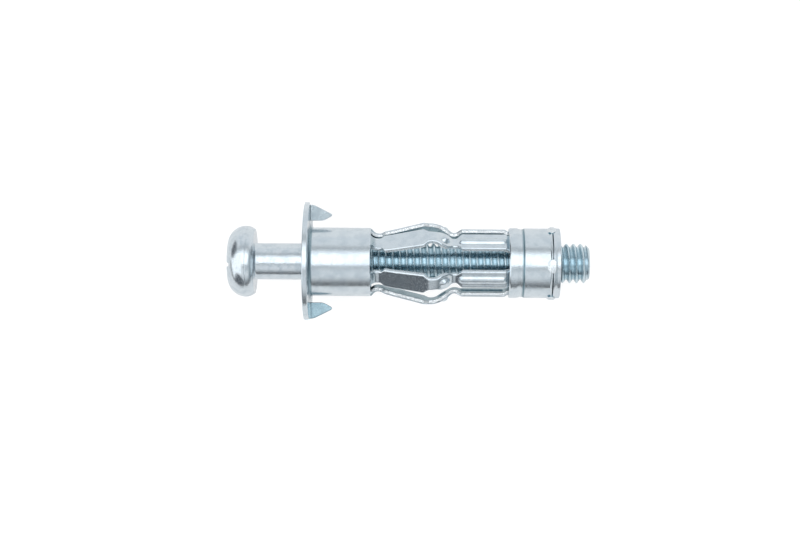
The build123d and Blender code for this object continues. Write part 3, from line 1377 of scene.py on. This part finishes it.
    lug_count: int = 5
    first_lug: float = -5.0
    lug_length: float = 1.35
    lug_reach: float = 0.5
    lug_rise: float = 0.07
    lug_sheet: float = 0.5
    lug_sink: float = 0.05
    lug_form: tuple[Corner, ...] = ((0.4, -0.02, 0.3), (1.23, 0.0, 0.1), (1.35, -0.12, 0.0))
    lug_width: tuple[Corner, ...] = (
        (0.0, 0.525, 0.0),
        (0.45, 0.882, 0.3),
        (0.9, 1.05, 0.3),
        (1.27, 0.693, 0.2),
        (1.35, 0.315, 0.0),
    )
    lug_blunt: float = 0.12
    lug_edge_round: float = 0.05
    lug_flare: float = 0.1
    lug_step: float = 0.04
    lug_across: int = 16
    lug_face: Marks = Marks(cut=0.35)
    # Painted shade along the lugs' edges.
    lug_edge: Marks = Marks(painted_shade=1.0)

    @cached_property
    def leg_edge(self) -> list[Point]:
        """Half a leg's width along it, with its corners rounded."""
        return rounded(self.leg_width)

    @property
    def fold(self) -> float:
        """The outer radius of a prong's fold."""
        return self.sheet + self.prong_fold

    def build(self, plate: bpy.types.Material) -> list[Piece]:
        """Builds the whole sleeve.

        Args:
            plate: The sheet's finish.

        Returns:
            Its pieces.
        """
        meshes = {
            "sleeve_flange_and_barrel": self.flange_and_barrel(),
            "sleeve_prongs": self.prongs(plate),
            "sleeve_legs": self.legs(plate),
            "sleeve_collar": self.collar(),
            "sleeve_lugs": self.lugs(plate),
        }
        return [
            Piece(name, mesh, plate, Body.ANCHOR, Slot.SLEEVE, "sleeve")
            for name, mesh in meshes.items()
        ]

    def flange_and_barrel(self) -> bpy.types.Mesh:
        """Builds the flange and the barrel behind it.

        Returns:
            Their mesh, with the two bites that the prongs are folded out of.
        """
        bore = self.barrel_radius - self.sheet
        profile = rounded(
            [
                (self.barrel_length, bore, self.inner_round),
                (self.barrel_length, self.barrel_radius, self.outer_round),
                (0.0, self.barrel_radius, self.flange_bend),
                (0.0, self.flange_radius, self.rim_round),
                (self.flange_face, self.flange_radius, self.rim_round),
                (self.flange_face, bore, self.flange_bend + self.sheet),
            ],
            closed=True,
        )

        def marking(along: float, radius: float) -> Marks:
            """The bend between barrel and flange gets painted shade, and so does the bore, as an
            inner side.
            """
            if radius < bore + BORE_MARGIN:
                return Marks(inside=1.0)
            bend = self.bend_dark * within(along, self.bend_stations)
            return Marks(painted_shade=bend * (1 - smooth(radius, *self.bend_radii)))

        stock = turned(profile, self.columns, True, marking).mesh("sleeve_flange_and_barrel")
        return carved(stock, [self._bite(side) for side in (1, -1)])

    def _bite(self, side: int) -> bpy.types.Mesh:
        """The piece that a prong leaves out of the flange.

        Args:
            side: 1 for the prong at +Y, -1 for the one at -Y.

        Returns:
            The block to be cut away, which runs out past the flange's rim.
        """
        inner, outer = self.prong_foot[0], 2 * self.prong_foot[0]
        outline = [
            (inner, self.fold),
            (outer, self.fold),
            (outer, -self.bite_length),
            (self.bite_tip, -self.bite_length),
            (inner, -self.bite_length / 2),
        ]
        outline = [(side * y, side * z) for y, z in outline]
        block = prism(outline, -2 * self.sheet, self.bite_end, marks=Marks(cut=1.0))
        bite = block.mesh("bite")
        bite.transform(Matrix.Rotation(math.radians(-self.prong_turn), 4, "X"))
        return bite

    def prongs(self, plate: bpy.types.Material) -> bpy.types.Mesh:
        """Builds the two prongs, folded out of the flange.

        Args:
            plate: The sheet's finish.

        Returns:
            Their mesh.
        """
        corners = [
            (self.prong_length, 0.0, 0),
            (-self.sheet, 0.0, self.fold),
            (-self.sheet, self.prong_heel, 0),
        ]
        lower, upper = (
            rounded(
                [(self.prong_root, foot, 0), (station, foot, bend), (self.prong_reach, point, 0)]
            )
            for foot, (station, bend), point in zip(
                self.prong_foot, self.prong_taper, self.prong_point
            )
        )

        def limits(station: float) -> Point:
            """The prong's two edges, drawn in to a blunt tip."""
            end = math.sqrt(max(0.0, 1 - smooth(station, self.prong_end, self.prong_length) ** 2))
            low, high = height_at(lower, station), height_at(upper, station)
            middle, half = (low + high) / 2, (high - low) / 2 * max(end, self.prong_blunt)
            return middle - half, middle + half

        strip = PressedStrip(
            path=resampled(rounded(corners), self.prong_step),
            limits=limits,
            thickness=self.sheet,
            edge_round=self.prong_edge_round,
            face=self.prong_face,
            back=self.prong_back,
        )
        prong = strip.shell().mesh("sleeve_prongs")
        return ring_of(prong, count=2, first_angle=self.prong_turn, material=plate)

    def _leg_limits(self, station: float) -> Point:
        """A leg's two edges at a station."""
        half = height_at(self.leg_edge, station)
        return -half, half

    def _leg_relief(self, station: float, across: float) -> float:
        """How far the rib and the dimple stand out of a leg's face.

        Args:
            station: Where along the leg.
            across: How far from its middle.

        Returns:
            The height of both.
        """
        start, end = self.rib_span
        half = self.rib_width / 2
        middle = min(max(station, start + half), end - half)
        off_rib = math.hypot(station - middle, across)
        rib = self.rib_rise * (1 - smooth(off_rib, half * self.rib_crown, half))
        off_dimple = math.hypot(station - self.dimple[0], across)
        dome = self.dimple_rise * (1 - smooth(off_dimple, self.dimple_crown, self.dimple[1]))
        return rib + dome

    def _leg_hollow(self, station: float, across: float) -> float:
        """How far the rib and the dimple hollow out a leg's inner face."""
        return self.hollow_depth * self._leg_relief(station, across * self.hollow_spread)

    def _leg_bow(self, station: float, across: float) -> float:
        """How far a leg is still curved like the barrel, at its root."""
        curved = 1 - smooth(station, *self.leg_curve)
        return curved * (math.sqrt(self.barrel_radius**2 - across**2) - self.barrel_radius)

    def _leg_shade(self, station: float) -> float:
        """The painted shade in the hollow of the neck, where the sheet leaves the barrel."""
        return self.neck_dark * within(station, self.neck_span)

    def legs(self, plate: bpy.types.Material) -> bpy.types.Mesh:
        """Builds the folding legs.

        Args:
            plate: The sheet's finish.

        Returns:
            Their mesh.
        """
        crown = self.barrel_radius - self.leg_sink
        lead, lead_round = self.leg_lead
        slope, slope_round = self.dip_slope
        corners = [
            (self.barrel_length - self.leg_lap, crown, 0),
            (self.barrel_length + lead, crown, lead_round),
            self.neck,
            self.knee,
            self.waist,
            self.rail,
            (self.rail_dip[0] - slope, self.rail[1], slope_round),
            self.rail_dip,
            (self.collar_start + self.leg_tail, self.rail_dip[1], 0),
        ]
        strip = PressedStrip(
            path=resampled(rounded(corners, turn=self.leg_bend_turn), self.leg_step),
            limits=self._leg_limits,
            thickness=self.sheet,
            edge_round=self.leg_edge_round,
            relief=self._leg_relief,
            hollow=self._leg_hollow,
            bow=self._leg_bow,
            shade=self._leg_shade,
            across=self.leg_across,
            back=self.leg_back,
        )
        mesh = strip.shell().mesh("sleeve_legs")
        legs = ring_of(mesh, self.leg_count, self.first_leg, plate)
        for point in legs.vertices:
            point.co.y -= self.leg_sag * within(point.co.x, self.sag_span)
        return legs

    def collar(self) -> bpy.types.Mesh:
        """Builds the collar, with its rolled groove and the bead round its end.

        Returns:
            Its mesh.
        """
        bore = self.collar_radius - self.sheet
        start, end = self.collar_start, self.collar_end - self.seam
        foot, foot_round = self.bead_foot
        profile = rounded(
            [
                (start, bore, self.inner_round),
                *moved(self.collar_roll, start, self.collar_radius),
                (end - foot, self.collar_radius, foot_round),
                *moved(self.bead, end, self.bead_radius),
                (end, bore, self.inner_round),
            ],
            closed=True,
        )

        def marking(along: float, radius: float) -> Marks:
            """The groove's two sides, the end at the nut's ring and the bore get painted shade."""
            if radius < bore + BORE_MARGIN:
                return Marks(inside=1.0)
            seam = smooth(along, end - self.seam_dark, end)
            seam *= 1 - smooth(radius, *self.seam_radii)
            groove = self.groove_dark * within(along - start, self.groove_span)
            front = self.foot_dark * within(along - start, self.foot_span)
            return Marks(painted_shade=max(seam, groove, front))

        return turned(profile, self.columns, True, marking).mesh("sleeve_collar")

    def lugs(self, plate: bpy.types.Material) -> bpy.types.Mesh:
        """Builds the lugs that lock the collar to the nut's ring.

        Args:
            plate: The sheet's finish.

        Returns:
            Their mesh.
        """
        start = self.collar_end + self.lug_reach - self.lug_length
        crown = self.bead_radius + self.lug_rise
        corners = [
            (start, self.collar_radius - self.lug_sink, 0),
            *moved(self.lug_form, start, crown),
        ]
        half_width = rounded(moved(self.lug_width, start, 0.0))

        def limits(station: float) -> Point:
            """A lug's two edges, round at its end."""
            half = max(height_at(half_width, station), self.lug_blunt)
            return -half, half

        def bow(station: float, across: float) -> float:
            """How far the lug bends down to follow the ring round."""
            return math.sqrt(crown**2 - across**2) - crown

        strip = PressedStrip(
            path=resampled(rounded(corners), self.lug_step),
            limits=limits,
            thickness=self.lug_sheet,
            edge_round=self.lug_edge_round,
            bow=bow,
            across=self.lug_across,
            fracture=-self.lug_flare,
            face=self.lug_face,
            edge=self.lug_edge,
        )
        return ring_of(strip.shell().mesh("sleeve_lugs"), self.lug_count, self.first_lug, plate)


@dataclass
class Nut:
    """The nut in the collar: its ring is seen, its body is inside.

    Sizes are in millimetres. A station is a distance along the axis from the flange's
    wall face.

    Attributes:
        start: The station where its body starts.
        seam: The station where its ring starts, at the collar's end.
        end: The station where its ring ends.
        ring_radius: The ring's radius.
        ring_start: How far behind the seam the ring has its radius, and the round there.
        ring_round: The round of the ring's outer edge.
        lip_radius: The radius of the lip at the seam.
        lip: The lip, from the seam and its radius.
        body_radius: The body's radius.
        body_round: The round of the body's edge.
        bore_radius: The radius of its plain bore.
        bore_round: The round of the ring's inner edge.
        chamfer: The chamfer at both ends of the bore.
        seam_dark: How deep the painted shade in the seam is.
        seam_radii: Between which radii it lies.
        columns: How many steps a turn has.
    """

    start: float = 28.95
    seam: float = 34.55
    end: float = 35.62
    ring_radius: float = 5.0
    ring_start: Point = (0.6, 0.45)
    ring_round: float = 0.11
    lip_radius: float = 5.17
    lip: tuple[Corner, ...] = ((0.0, -0.08, 0.04), (0.04, 0.0, 0.04), (0.15, 0.0, 0.12))
    body_radius: float = 4.2
    body_round: float = 0.1
    bore_radius: float = 2.95
    bore_round: float = 0.05
    chamfer: float = 0.3
    seam_dark: float = 0.02
    seam_radii: Span = ((4.3, 4.4), (5.02, 5.12))
    columns: int = 128

    def build(self, plate: bpy.types.Material) -> list[Piece]:
        """Builds the nut.

        Args:
            plate: Its finish.

        Returns:
            Its one piece.
        """
        mouth = self.bore_radius + self.chamfer
        behind_seam, ring_start_round = self.ring_start
        profile = rounded(
            [
                (self.start, mouth, 0),
                (self.start, self.body_radius, self.body_round),
                (self.seam, self.body_radius, 0),
                *moved(self.lip, self.seam, self.lip_radius),
                (self.seam + behind_seam, self.ring_radius, ring_start_round),
                (self.end, self.ring_radius, self.ring_round),
                (self.end, mouth, self.bore_round),
                (self.end - self.chamfer, self.bore_radius, 0),
                (self.start + self.chamfer, self.bore_radius, 0),
            ],
            closed=True,
        )

        def marking(along: float, radius: float) -> Marks:
            """The ring gets painted shade in the seam, and the bore the thread's painted blue
            tint.
            """
            dark = 1 - smooth(along, self.seam, self.seam + self.seam_dark)
            dark *= within(radius, self.seam_radii)
            return Marks(painted_shade=dark, threaded=float(radius < self.bore_radius + BORE_MARGIN))

        mesh = turned(profile, self.columns, True, marking).mesh("nut_with_ring")
        return [Piece("nut_with_ring", mesh, plate, Body.ANCHOR, Slot.NUT, "nut")]


@dataclass
class Screw:
    """The pan head machine screw, with its recess and its rolled thread.

    Sizes are in millimetres and angles in degrees. A station is a distance along the
    axis from the flange's wall face.

    Attributes:
        columns: How many steps a turn has.
        head_top: The station of the crown.
        underside: The station of the head's underside.
        head_radius: The head's radius.
        shoulder_radius: The arc from the crown to the head's widest place.
        shoulder_steps: How many steps it has.
        belly_radius: The arc from there down to the underside.
        belly_steps: How many steps it has, with the two that the parting line covers.
        parting: The parting line, from the head's widest place.
        crown_rise: How far the crown's middle stands out.
        crown_flat: How much of the crown within the shoulder is flat.
        rim_height: How far before the underside the belly's arc ends.
        rim_step: The small step there.
        rim_round: The round from the belly to the underside.
        shank_radius: The shank's radius.
        shank_fillet: The round between the underside and the shank.
        thread_start: The station where the thread starts.
        tip: The station of the tip.
        pitch: The thread's pitch.
        crest_radius: The thread's radius on its crests.
        root_radius: The thread's radius at its roots.
        tip_radius: The radius of the tip's flat end.
        rows_per_pitch: How many steps the thread has along one pitch.
        rolled_share: How much of the thread's form is a smooth wave. The rest is straight.
        run_in: Over how many pitches the thread rises from the shank.
        last_turn: How many pitches before the tip its painted blue tint starts to fade.
        last_fade: How much of its tint it loses at the tip.
        flank_shade: How strong the painted shade on the flanks is.
        flank_from: How steep the form is where that darkness starts, 1 being the steepest.
        weld: Points nearer than this are joined where the thread meets shank and tip.
        sharp_thread: Edges of the screw that turn more than this stay sharp.
        recess_turn: How far the recess is turned.
        recess_dark: How strong the painted shade in the recess is.
        cross_span: How wide the cross is from end to end.
        cross_depth: The cross's depth.
        cross_narrowing: How much of its size it keeps at its bottom.
        wing_width: How wide one arm of the cross is.
        core_share: Where the round between two arms starts, in widths of an arm.
        core_flare: How far it opens there, in halves of that width.
        slot_width: The slot's width.
        slot_depth: The slot's depth.
        punch_lead: How far in front of the crown the punches start.
    """

    columns: int = 96

    head_top: float = -11.75
    underside: float = -7.85
    head_radius: float = 5.1
    shoulder_radius: float = 2.6
    shoulder_steps: int = 14
    belly_radius: float = 1.9
    belly_steps: int = 8
    parting: tuple[Point, ...] = ((0.09, 0.0), (0.12, -0.035), (0.18, -0.035), (0.21, -0.004))
    crown_rise: float = 0.03
    crown_flat: float = 0.8
    rim_height: float = 0.2
    rim_step: float = 0.01
    rim_round: float = 0.12
    shank_radius: float = 2.6
    shank_fillet: float = 0.35

    thread_start: float = 3.62
    tip: float = 39.85
    pitch: float = 1.0
    crest_radius: float = 2.85
    root_radius: float = 2.32
    tip_radius: float = 2.2
    rows_per_pitch: int = 16
    rolled_share: float = 0.8
    run_in: float = 1.5
    last_turn: float = 1.3
    last_fade: float = 0.5
    flank_shade: float = 0.4
    flank_from: float = 0.45
    weld: float = 0.0005
    sharp_thread: float = 50.0

    recess_turn: float = -9.0
    recess_dark: float = 0.95
    cross_span: float = 6.4
    cross_depth: float = 2.8
    cross_narrowing: float = 0.5
    wing_width: float = 1.1
    core_share: float = 0.98
    core_flare: float = 1.25
    slot_width: float = 0.6
    slot_depth: float = 0.42
    punch_lead: float = 0.5

    def build(self, plate: bpy.types.Material) -> list[Piece]:
        """Builds the screw.

        Args:
            plate: Its finish.

        Returns:
            Its one piece.
        """
        mesh = self.threaded(self.head_and_shank(), plate)
        return [Piece("screw_body", mesh, plate, Body.SCREW, Slot.SCREW, "screw")]

    def head_profile(self) -> list[Point]:
        """The head and shank in half section.

        Returns:
            Its points, from the crown to the first thread.
        """
        widest = self.head_top + self.shoulder_radius
        crown = self.head_radius - self.shoulder_radius
        line: list[Point] = [
            (self.head_top - self.crown_rise, 0.0),
            (self.head_top, crown * self.crown_flat),
        ]
        line += arc((widest, crown), self.shoulder_radius, 180, 90, self.shoulder_steps)
        line += [(widest + along, self.head_radius + rise) for along, rise in self.parting]
        belly = (widest, self.head_radius - self.belly_radius)
        depth = self.underside - self.rim_height - widest
        sweep = math.degrees(math.asin(depth / self.belly_radius))
        line += arc(belly, self.belly_radius, 90, 90 - sweep, self.belly_steps)[2:]
        belly_end, rim = line[-1]
        line += rounded(
            [
                (belly_end + self.rim_step, rim - self.rim_step, 0),
                (self.underside, rim - self.rim_round, self.rim_round),
                (self.underside, self.shank_radius, self.shank_fillet),
                (self.thread_start, self.shank_radius, 0),
            ]
        )
        return line

    def _punch(
        self, name: str, outline: Sequence[Point], depth: float, narrowing: float
    ) -> bpy.types.Mesh:
        """A punch for the crown.

        Args:
            name: Its name.
            outline: Its outline across the axis.
            depth: How deep it goes.
            narrowing: How much of its size it keeps at its end.

        Returns:
            The solid to be cut away.
        """
        start, end = self.head_top - self.punch_lead, self.head_top + depth
        # The recess takes over the punch's painted shade.
        made = prism(outline, start, end, narrowing, Marks(painted_shade=self.recess_dark)).mesh(name)
        made.transform(Matrix.Rotation(math.radians(90 - self.recess_turn), 4, "X"))
        return made

    def recess_tools(self) -> list[bpy.types.Mesh]:
        """Makes the punches for the recess.

        Returns:
            The one for the cross, and the one for the slot across it.
        """
        wing, span = self.wing_width / 2, self.cross_span / 2
        core, flare = self.wing_width * self.core_share, wing * self.core_flare
        quarter = [(span, -wing), (span, wing), (core, flare), (flare, core)]
        cross = []
        for turn in range(4):
            angle = math.radians(90 * turn)
            cosine, sine = math.cos(angle), math.sin(angle)
            cross += [(y * cosine - z * sine, y * sine + z * cosine) for y, z in quarter]
        half, reach = self.slot_width / 2, self.head_radius
        bar = [(-reach, -half), (reach, -half), (reach, half), (-reach, half)]
        return [
            self._punch("cross_punch", cross, self.cross_depth, self.cross_narrowing),
            self._punch("slot_punch", bar, self.slot_depth, 1.0),
        ]

    def head_and_shank(self) -> bpy.types.Mesh:
        """Builds the head with its recess, and the plain shank.

        Returns:
            Their mesh.
        """
        closed_end = [*self.head_profile(), (self.thread_start, 0.0)]
        stock = turned(closed_end, self.columns, closed=False).mesh("screw_body")
        return carved(stock, self.recess_tools())

    def _helix(self, net: Net, sizes: Mapping[str, Value]) -> bpy.types.NodeSocket:
        """The thread's surface, wound up from a flat grid.

        The grid's one side runs along the screw and its other side once round it. Each
        line round the screw also climbs by a pitch, so that it ends where the line one
        pitch further on starts.

        Args:
            net: The tree that it is added to.
            sizes: The tree's inputs by name.

        Returns:
            The surface, with the marks of its painted blue tint and the painted shade on its
            flanks.
        """
        start, end, pitch = sizes["Start"], sizes["End"], sizes["Pitch"]
        root, blank = sizes["Root Radius"], sizes["Blank Radius"]
        rows, columns = sizes["Rows"], sizes["Columns"]
        grid = net.node(
            "GeometryNodeMeshGrid",
            None,
            {"Size X": 1.0, "Size Y": 1.0, "Vertices X": rows + 1, "Vertices Y": columns + 1},
        )
        x, y, _ = net.parts(net.node("GeometryNodeInputPosition").outputs[0])
        row, share = (x + 0.5) * rows, y + 0.5
        wound = start + pitch * (row / sizes["Rows per Pitch"] + share - 1)
        along = wound.at_least(start).at_most(end)
        phase = ((along - start) / pitch - share + WHOLE_TURNS).fraction()
        wave = (phase - 0.5).size() * 2
        form = wave.step(0.0, 1.0) * self.rolled_share + wave * (1 - self.rolled_share)
        steepness = form * (1 - form) * 4
        flank = steepness.step(self.flank_from, 1.0) * self.flank_shade
        rolled = root + (sizes["Crest Radius"] - root) * form
        run_in = ((along - start) / pitch).step(0.0, self.run_in)
        radius = blank + (rolled - blank) * run_in
        radius = radius.at_most(sizes["Tip Radius"] + (end - along))
        fading = ((along - end) / pitch + self.last_turn).step(0.0, 1.0)
        angle = share * math.tau
        spot = net.vector(along, radius * angle.cosine(), radius * angle.sine())
        # The thread's painted blue tint, and the painted shade on its flanks.
        marks = {"threaded": run_in * (1 - fading * self.last_fade), "painted_shade": flank * run_in}
        surface = grid.outputs[0]
        for name, value in marks.items():
            surface = net.node(
                "GeometryNodeStoreNamedAttribute",
                {"data_type": "FLOAT", "domain": "POINT"},
                {"Geometry": surface, "Name": name, "Value": value},
            ).outputs[0]
        return net.placed(surface, spot)

    def _tip_disc(self, net: Net, sizes: Mapping[str, Value]) -> bpy.types.NodeSocket:
        """The flat end of the screw, stood up at its tip.

        Args:
            net: The tree that it is added to.
            sizes: The tree's inputs by name.

        Returns:
            The disc.
        """
        disc = net.node(
            "GeometryNodeMeshCircle",
            {"fill_type": "NGON"},
            {"Vertices": sizes["Columns"], "Radius": sizes["Tip Radius"]},
        )
        x, y, _ = net.parts(net.node("GeometryNodeInputPosition").outputs[0])
        return net.placed(disc.outputs[0], net.vector(sizes["End"], x, y))

    def threaded(self, stock: bpy.types.Mesh, plate: bpy.types.Material) -> bpy.types.Mesh:
        """Adds the rolled thread to the shank.

        Args:
            stock: The head and shank.
            plate: The finish.

        Returns:
            The whole screw.
        """
        turns = (self.tip - self.thread_start) / self.pitch + 1
        lengths = {
            "Start": self.thread_start,
            "End": self.tip,
            "Pitch": self.pitch,
            "Crest Radius": self.crest_radius,
            "Root Radius": self.root_radius,
            "Blank Radius": self.shank_radius,
            "Tip Radius": self.tip_radius,
        }
        counts = {
            "Rows": math.ceil(turns * self.rows_per_pitch),
            "Columns": self.columns,
            "Rows per Pitch": self.rows_per_pitch,
        }
        tree = GeometryTree("rolled_thread")
        net = tree.net
        sizes = {name: tree.number(name) for name in lengths}
        sizes |= {name: tree.number(name, whole=True) for name in counts}
        joined = net.node("GeometryNodeJoinGeometry")
        for part in (self._helix(net, sizes), self._tip_disc(net, sizes), tree.geometry):
            net.feed(joined.inputs[0], part)
        merged = net.node(
            "GeometryNodeMergeByDistance",
            None,
            {"Geometry": joined.outputs[0], "Distance": self.weld},
        )
        tree.end(merged.outputs[0], plate)
        return tidied(tree.run(stock, lengths | counts), self.sharp_thread)


@dataclass
class Studio:
    """The pale floor, the soft box over it, the studio's walls and the camera.

    The walls' light is a ring round the anchor's axis. In front of it are a panel
    towards the head, dusk towards the tip, and two dark corners.

    Attributes:
        distance: The camera's height above the axis, in millimetres.
        over: The station that the camera stands over, in millimetres.
        image_middle: The station and the place across that the image's middle shows.
        focal_pixels: The focal length, in pixels.
        sensor: The sensor's width, in millimetres.
        near: The nearest that the camera sees, in metres.
        roll: How far the camera is rolled, in degrees.
        floor_size: The length of the floor's sides, in metres.
        floor_glow: How bright the camera sees the floor by itself.
        floor_mirrored: How bright the metal mirrors it by itself.
        floor_grey: The share of the light on it that it sends back.
        box_size: The lamp's length and width, in metres.
        box_place: The lamp's place along, across and above the axis, in millimetres.
        box_radiance: How bright the lamp is.
        ring: The ring's brightness, by the angle from up towards +Y, in degrees.
        ring_tint: The ring's colour.
        panel_colour: The panel's colour and brightness.
        panel_reach: Where the panel starts, towards the head.
        panel_across: The place of its middle towards -Y.
        panel_side: Where it ends at its sides.
        panel_foot: Where it starts above the floor.
        dusk: The dusk's colours, from the floor up.
        dusk_reach: Where the dusk starts, towards the tip.
        dusk_side: Where it ends towards +Y.
        corners: For each dark corner its direction and how narrow it is.
        corner_edge: How soft a corner's edge is.
        corner_colour: The corners' colour.
    """

    distance: float = 272.0
    over: float = 16.3
    image_middle: Point = (12.87, -0.61)
    focal_pixels: float = 1900.0
    sensor: float = 36.0
    near: float = 0.01
    roll: float = 0.42

    floor_size: float = 3.0
    floor_glow: float = 0.82
    floor_mirrored: float = 0.62
    floor_grey: float = 0.3
    box_size: Point = (0.5, 0.12)
    box_place: Place = (0.0, 30.0, 320.0)
    box_radiance: float = 1.0

    ring: tuple[Point, ...] = (
        (-90, 0.15),
        (-80, 0.2),
        (-71, 0.4),
        (-62, 0.68),
        (-52, 0.88),
        (-40, 0.9),
        (-28, 0.84),
        (-20, 0.64),
        (-13, 0.6),
        (-8, 1.75),
        (20, 1.75),
        (30, 1.35),
        (37, 0.85),
        (43, 0.57),
        (50, 0.57),
        (57, 0.88),
        (90, 0.92),
    )
    ring_tint: Colour = (0.97, 1.0, 1.03)
    panel_colour: Colour = (1.4, 1.43, 1.45)
    panel_reach: Point = (0.2, 0.4)
    panel_across: float = 0.2
    panel_side: Point = (0.42, 0.6)
    panel_foot: Point = (0.03, 0.1)
    dusk: tuple[tuple[float, Colour], ...] = (
        (0.0, (0.1, 0.14, 0.16)),
        (0.9, (0.55, 0.62, 0.66)),
    )
    dusk_reach: Point = (0.5, 0.72)
    dusk_side: Point = (0.25, 0.6)
    corners: tuple[tuple[Place, float], ...] = (
        ((-0.5, -0.82, 0.27), 0.9),
        ((-0.88, 0.45, 0.15), 0.91),
    )
    corner_edge: float = 0.06
    corner_colour: Colour = (0.14, 0.15, 0.165)

    def build(self) -> None:
        """Sets the whole studio up."""
        self.floor()
        self.walls()
        self.soft_box()
        self.camera()
        bpy.context.scene.view_settings.view_transform = "Standard"

    def floor(self) -> None:
        """Lays a white floor that keeps the object's soft shadow."""
        half = self.floor_size / 2
        mesh = bpy.data.meshes.new("floor")
        corners = [(-half, -half, 0), (half, -half, 0), (half, half, 0), (-half, half, 0)]
        mesh.from_pydata(corners, [], [(0, 1, 2, 3)])
        material = bpy.data.materials.new("white_floor")
        net = emptied(material)
        rays = net.node("ShaderNodeLightPath")
        seen, glossy, through = (
            net.value(rays.outputs[f"Is {kind} Ray"])
            for kind in ("Camera", "Glossy", "Transmission")
        )
        strength = seen * self.floor_glow + glossy.at_least(through) * self.floor_mirrored
        glow = net.node("ShaderNodeEmission", None, {"Color": (1, 1, 1, 1), "Strength": strength})
        grey = (self.floor_grey, self.floor_grey, self.floor_grey, 1)
        matt = net.node("ShaderNodeBsdfDiffuse", None, {"Color": grey})
        both = net.node("ShaderNodeAddShader", None, {0: glow.outputs[0], 1: matt.outputs[0]})
        net.node("ShaderNodeOutputMaterial", None, {"Surface": both.outputs[0]})
        mesh.materials.append(material)
        linked("floor", mesh)

    def walls(self) -> None:
        """Sets the light round the object: brightest above, dim towards -Y."""
        world = bpy.data.worlds.new("studio")
        bpy.context.scene.world = world
        net = emptied(world)
        direction = net.node("ShaderNodeTexCoord").outputs["Generated"]
        across = self._part(net, direction, AXIS.across)
        up = self._part(net, direction, AXIS.upward)
        behind = self._part(net, direction, -AXIS.direction)

        red, green, blue = self.ring_tint
        turn = across.angle_to(up) / math.tau + 0.5
        stops = [(a / 360 + 0.5, (v * red, v * green, v * blue)) for a, v in self.ring]
        sky = net.ramp(turn, stops)

        panel_sides = 1 - (across + self.panel_across).size().step(*self.panel_side)
        panel = behind.step(*self.panel_reach) * panel_sides * up.step(*self.panel_foot)
        sky = net.mixed(panel, sky, (*self.panel_colour, 1))

        ahead = (-1 * behind).step(*self.dusk_reach) * (1 - across.step(*self.dusk_side))
        sky = net.mixed(ahead, sky, net.ramp(up, self.dusk))

        turn_to_frame = AXIS.placement().to_3x3().normalized()
        for toward, reach in self.corners:
            aim = (turn_to_frame @ Vector(toward)).normalized()
            corner = self._part(net, direction, aim).step(reach, reach + self.corner_edge)
            sky = net.mixed(corner, sky, (*self.corner_colour, 1))
        glow = net.node("ShaderNodeBackground", None, {"Color": sky, "Strength": 1.0})
        net.node("ShaderNodeOutputWorld", None, {"Surface": glow.outputs[0]})

    @staticmethod
    def _part(net: Net, direction: bpy.types.NodeSocket, along: Vector) -> Value:
        """How much of a direction lies along another."""
        made = net.node(
            "ShaderNodeVectorMath", {"operation": "DOT_PRODUCT"}, {0: direction, 1: along}
        )
        return net.value(made.outputs["Value"])

    def soft_box(self) -> None:
        """Hangs a soft lamp above, which lights the floor and isn't mirrored in the metal."""
        lamp = bpy.data.lights.new("soft_box", "AREA")
        lamp.shape = "RECTANGLE"
        lamp.size, lamp.size_y = self.box_size
        lamp.energy = self.box_radiance * math.pi * lamp.size * lamp.size_y
        place = AXIS.point(*self.box_place)
        facing = self._facing(place, AXIS.point(self.over, 0, 0))
        box = linked("soft_box", lamp)
        box.matrix_world = Matrix.Translation(place) @ facing
        box.visible_glossy = False

    @staticmethod
    def _facing(place: Vector, target: Vector) -> Matrix:
        """Turns what looks along -Z, with +Y up in its view.

        Args:
            place: Where it looks from.
            target: Where it looks to.

        Returns:
            The turn.
        """
        back = (place - target).normalized()
        right = Vector((0, 1, 0)).cross(back).normalized()
        return Matrix((right, back.cross(right), back)).transposed().to_4x4()

    def camera(self) -> None:
        """Sets the camera over the anchor, square to its axis but for a small yaw."""
        lens = bpy.data.cameras.new("camera")
        lens.sensor_width = self.sensor
        lens.lens = self.focal_pixels / IMAGE_WIDTH * lens.sensor_width
        lens.clip_start = self.near
        station, across = self.image_middle
        eye = AXIS.point(self.over, across, self.distance)
        facing = self._facing(eye, AXIS.point(station, across, 0))
        roll = Matrix.Rotation(math.radians(self.roll), 4, "Z")
        camera = linked("camera", lens)
        camera.matrix_world = Matrix.Translation(eye) @ facing @ roll
        bpy.context.scene.camera = camera


def main() -> None:
    """Builds the anchor piece by piece, then the studio round it."""
    logging.basicConfig(level=logging.INFO, format="%(message)s")
    assemblies = [(Sleeve(), SHEET_PLATE), (Nut(), NUT_PLATE), (Screw(), SCREW_PLATE)]
    for assembly, plate in assemblies:
        for piece in assembly.build(plate.material()):
            piece.place()
    Studio().build()
    bpy.context.view_layer.update()


if __name__ == "__main__":
    main()
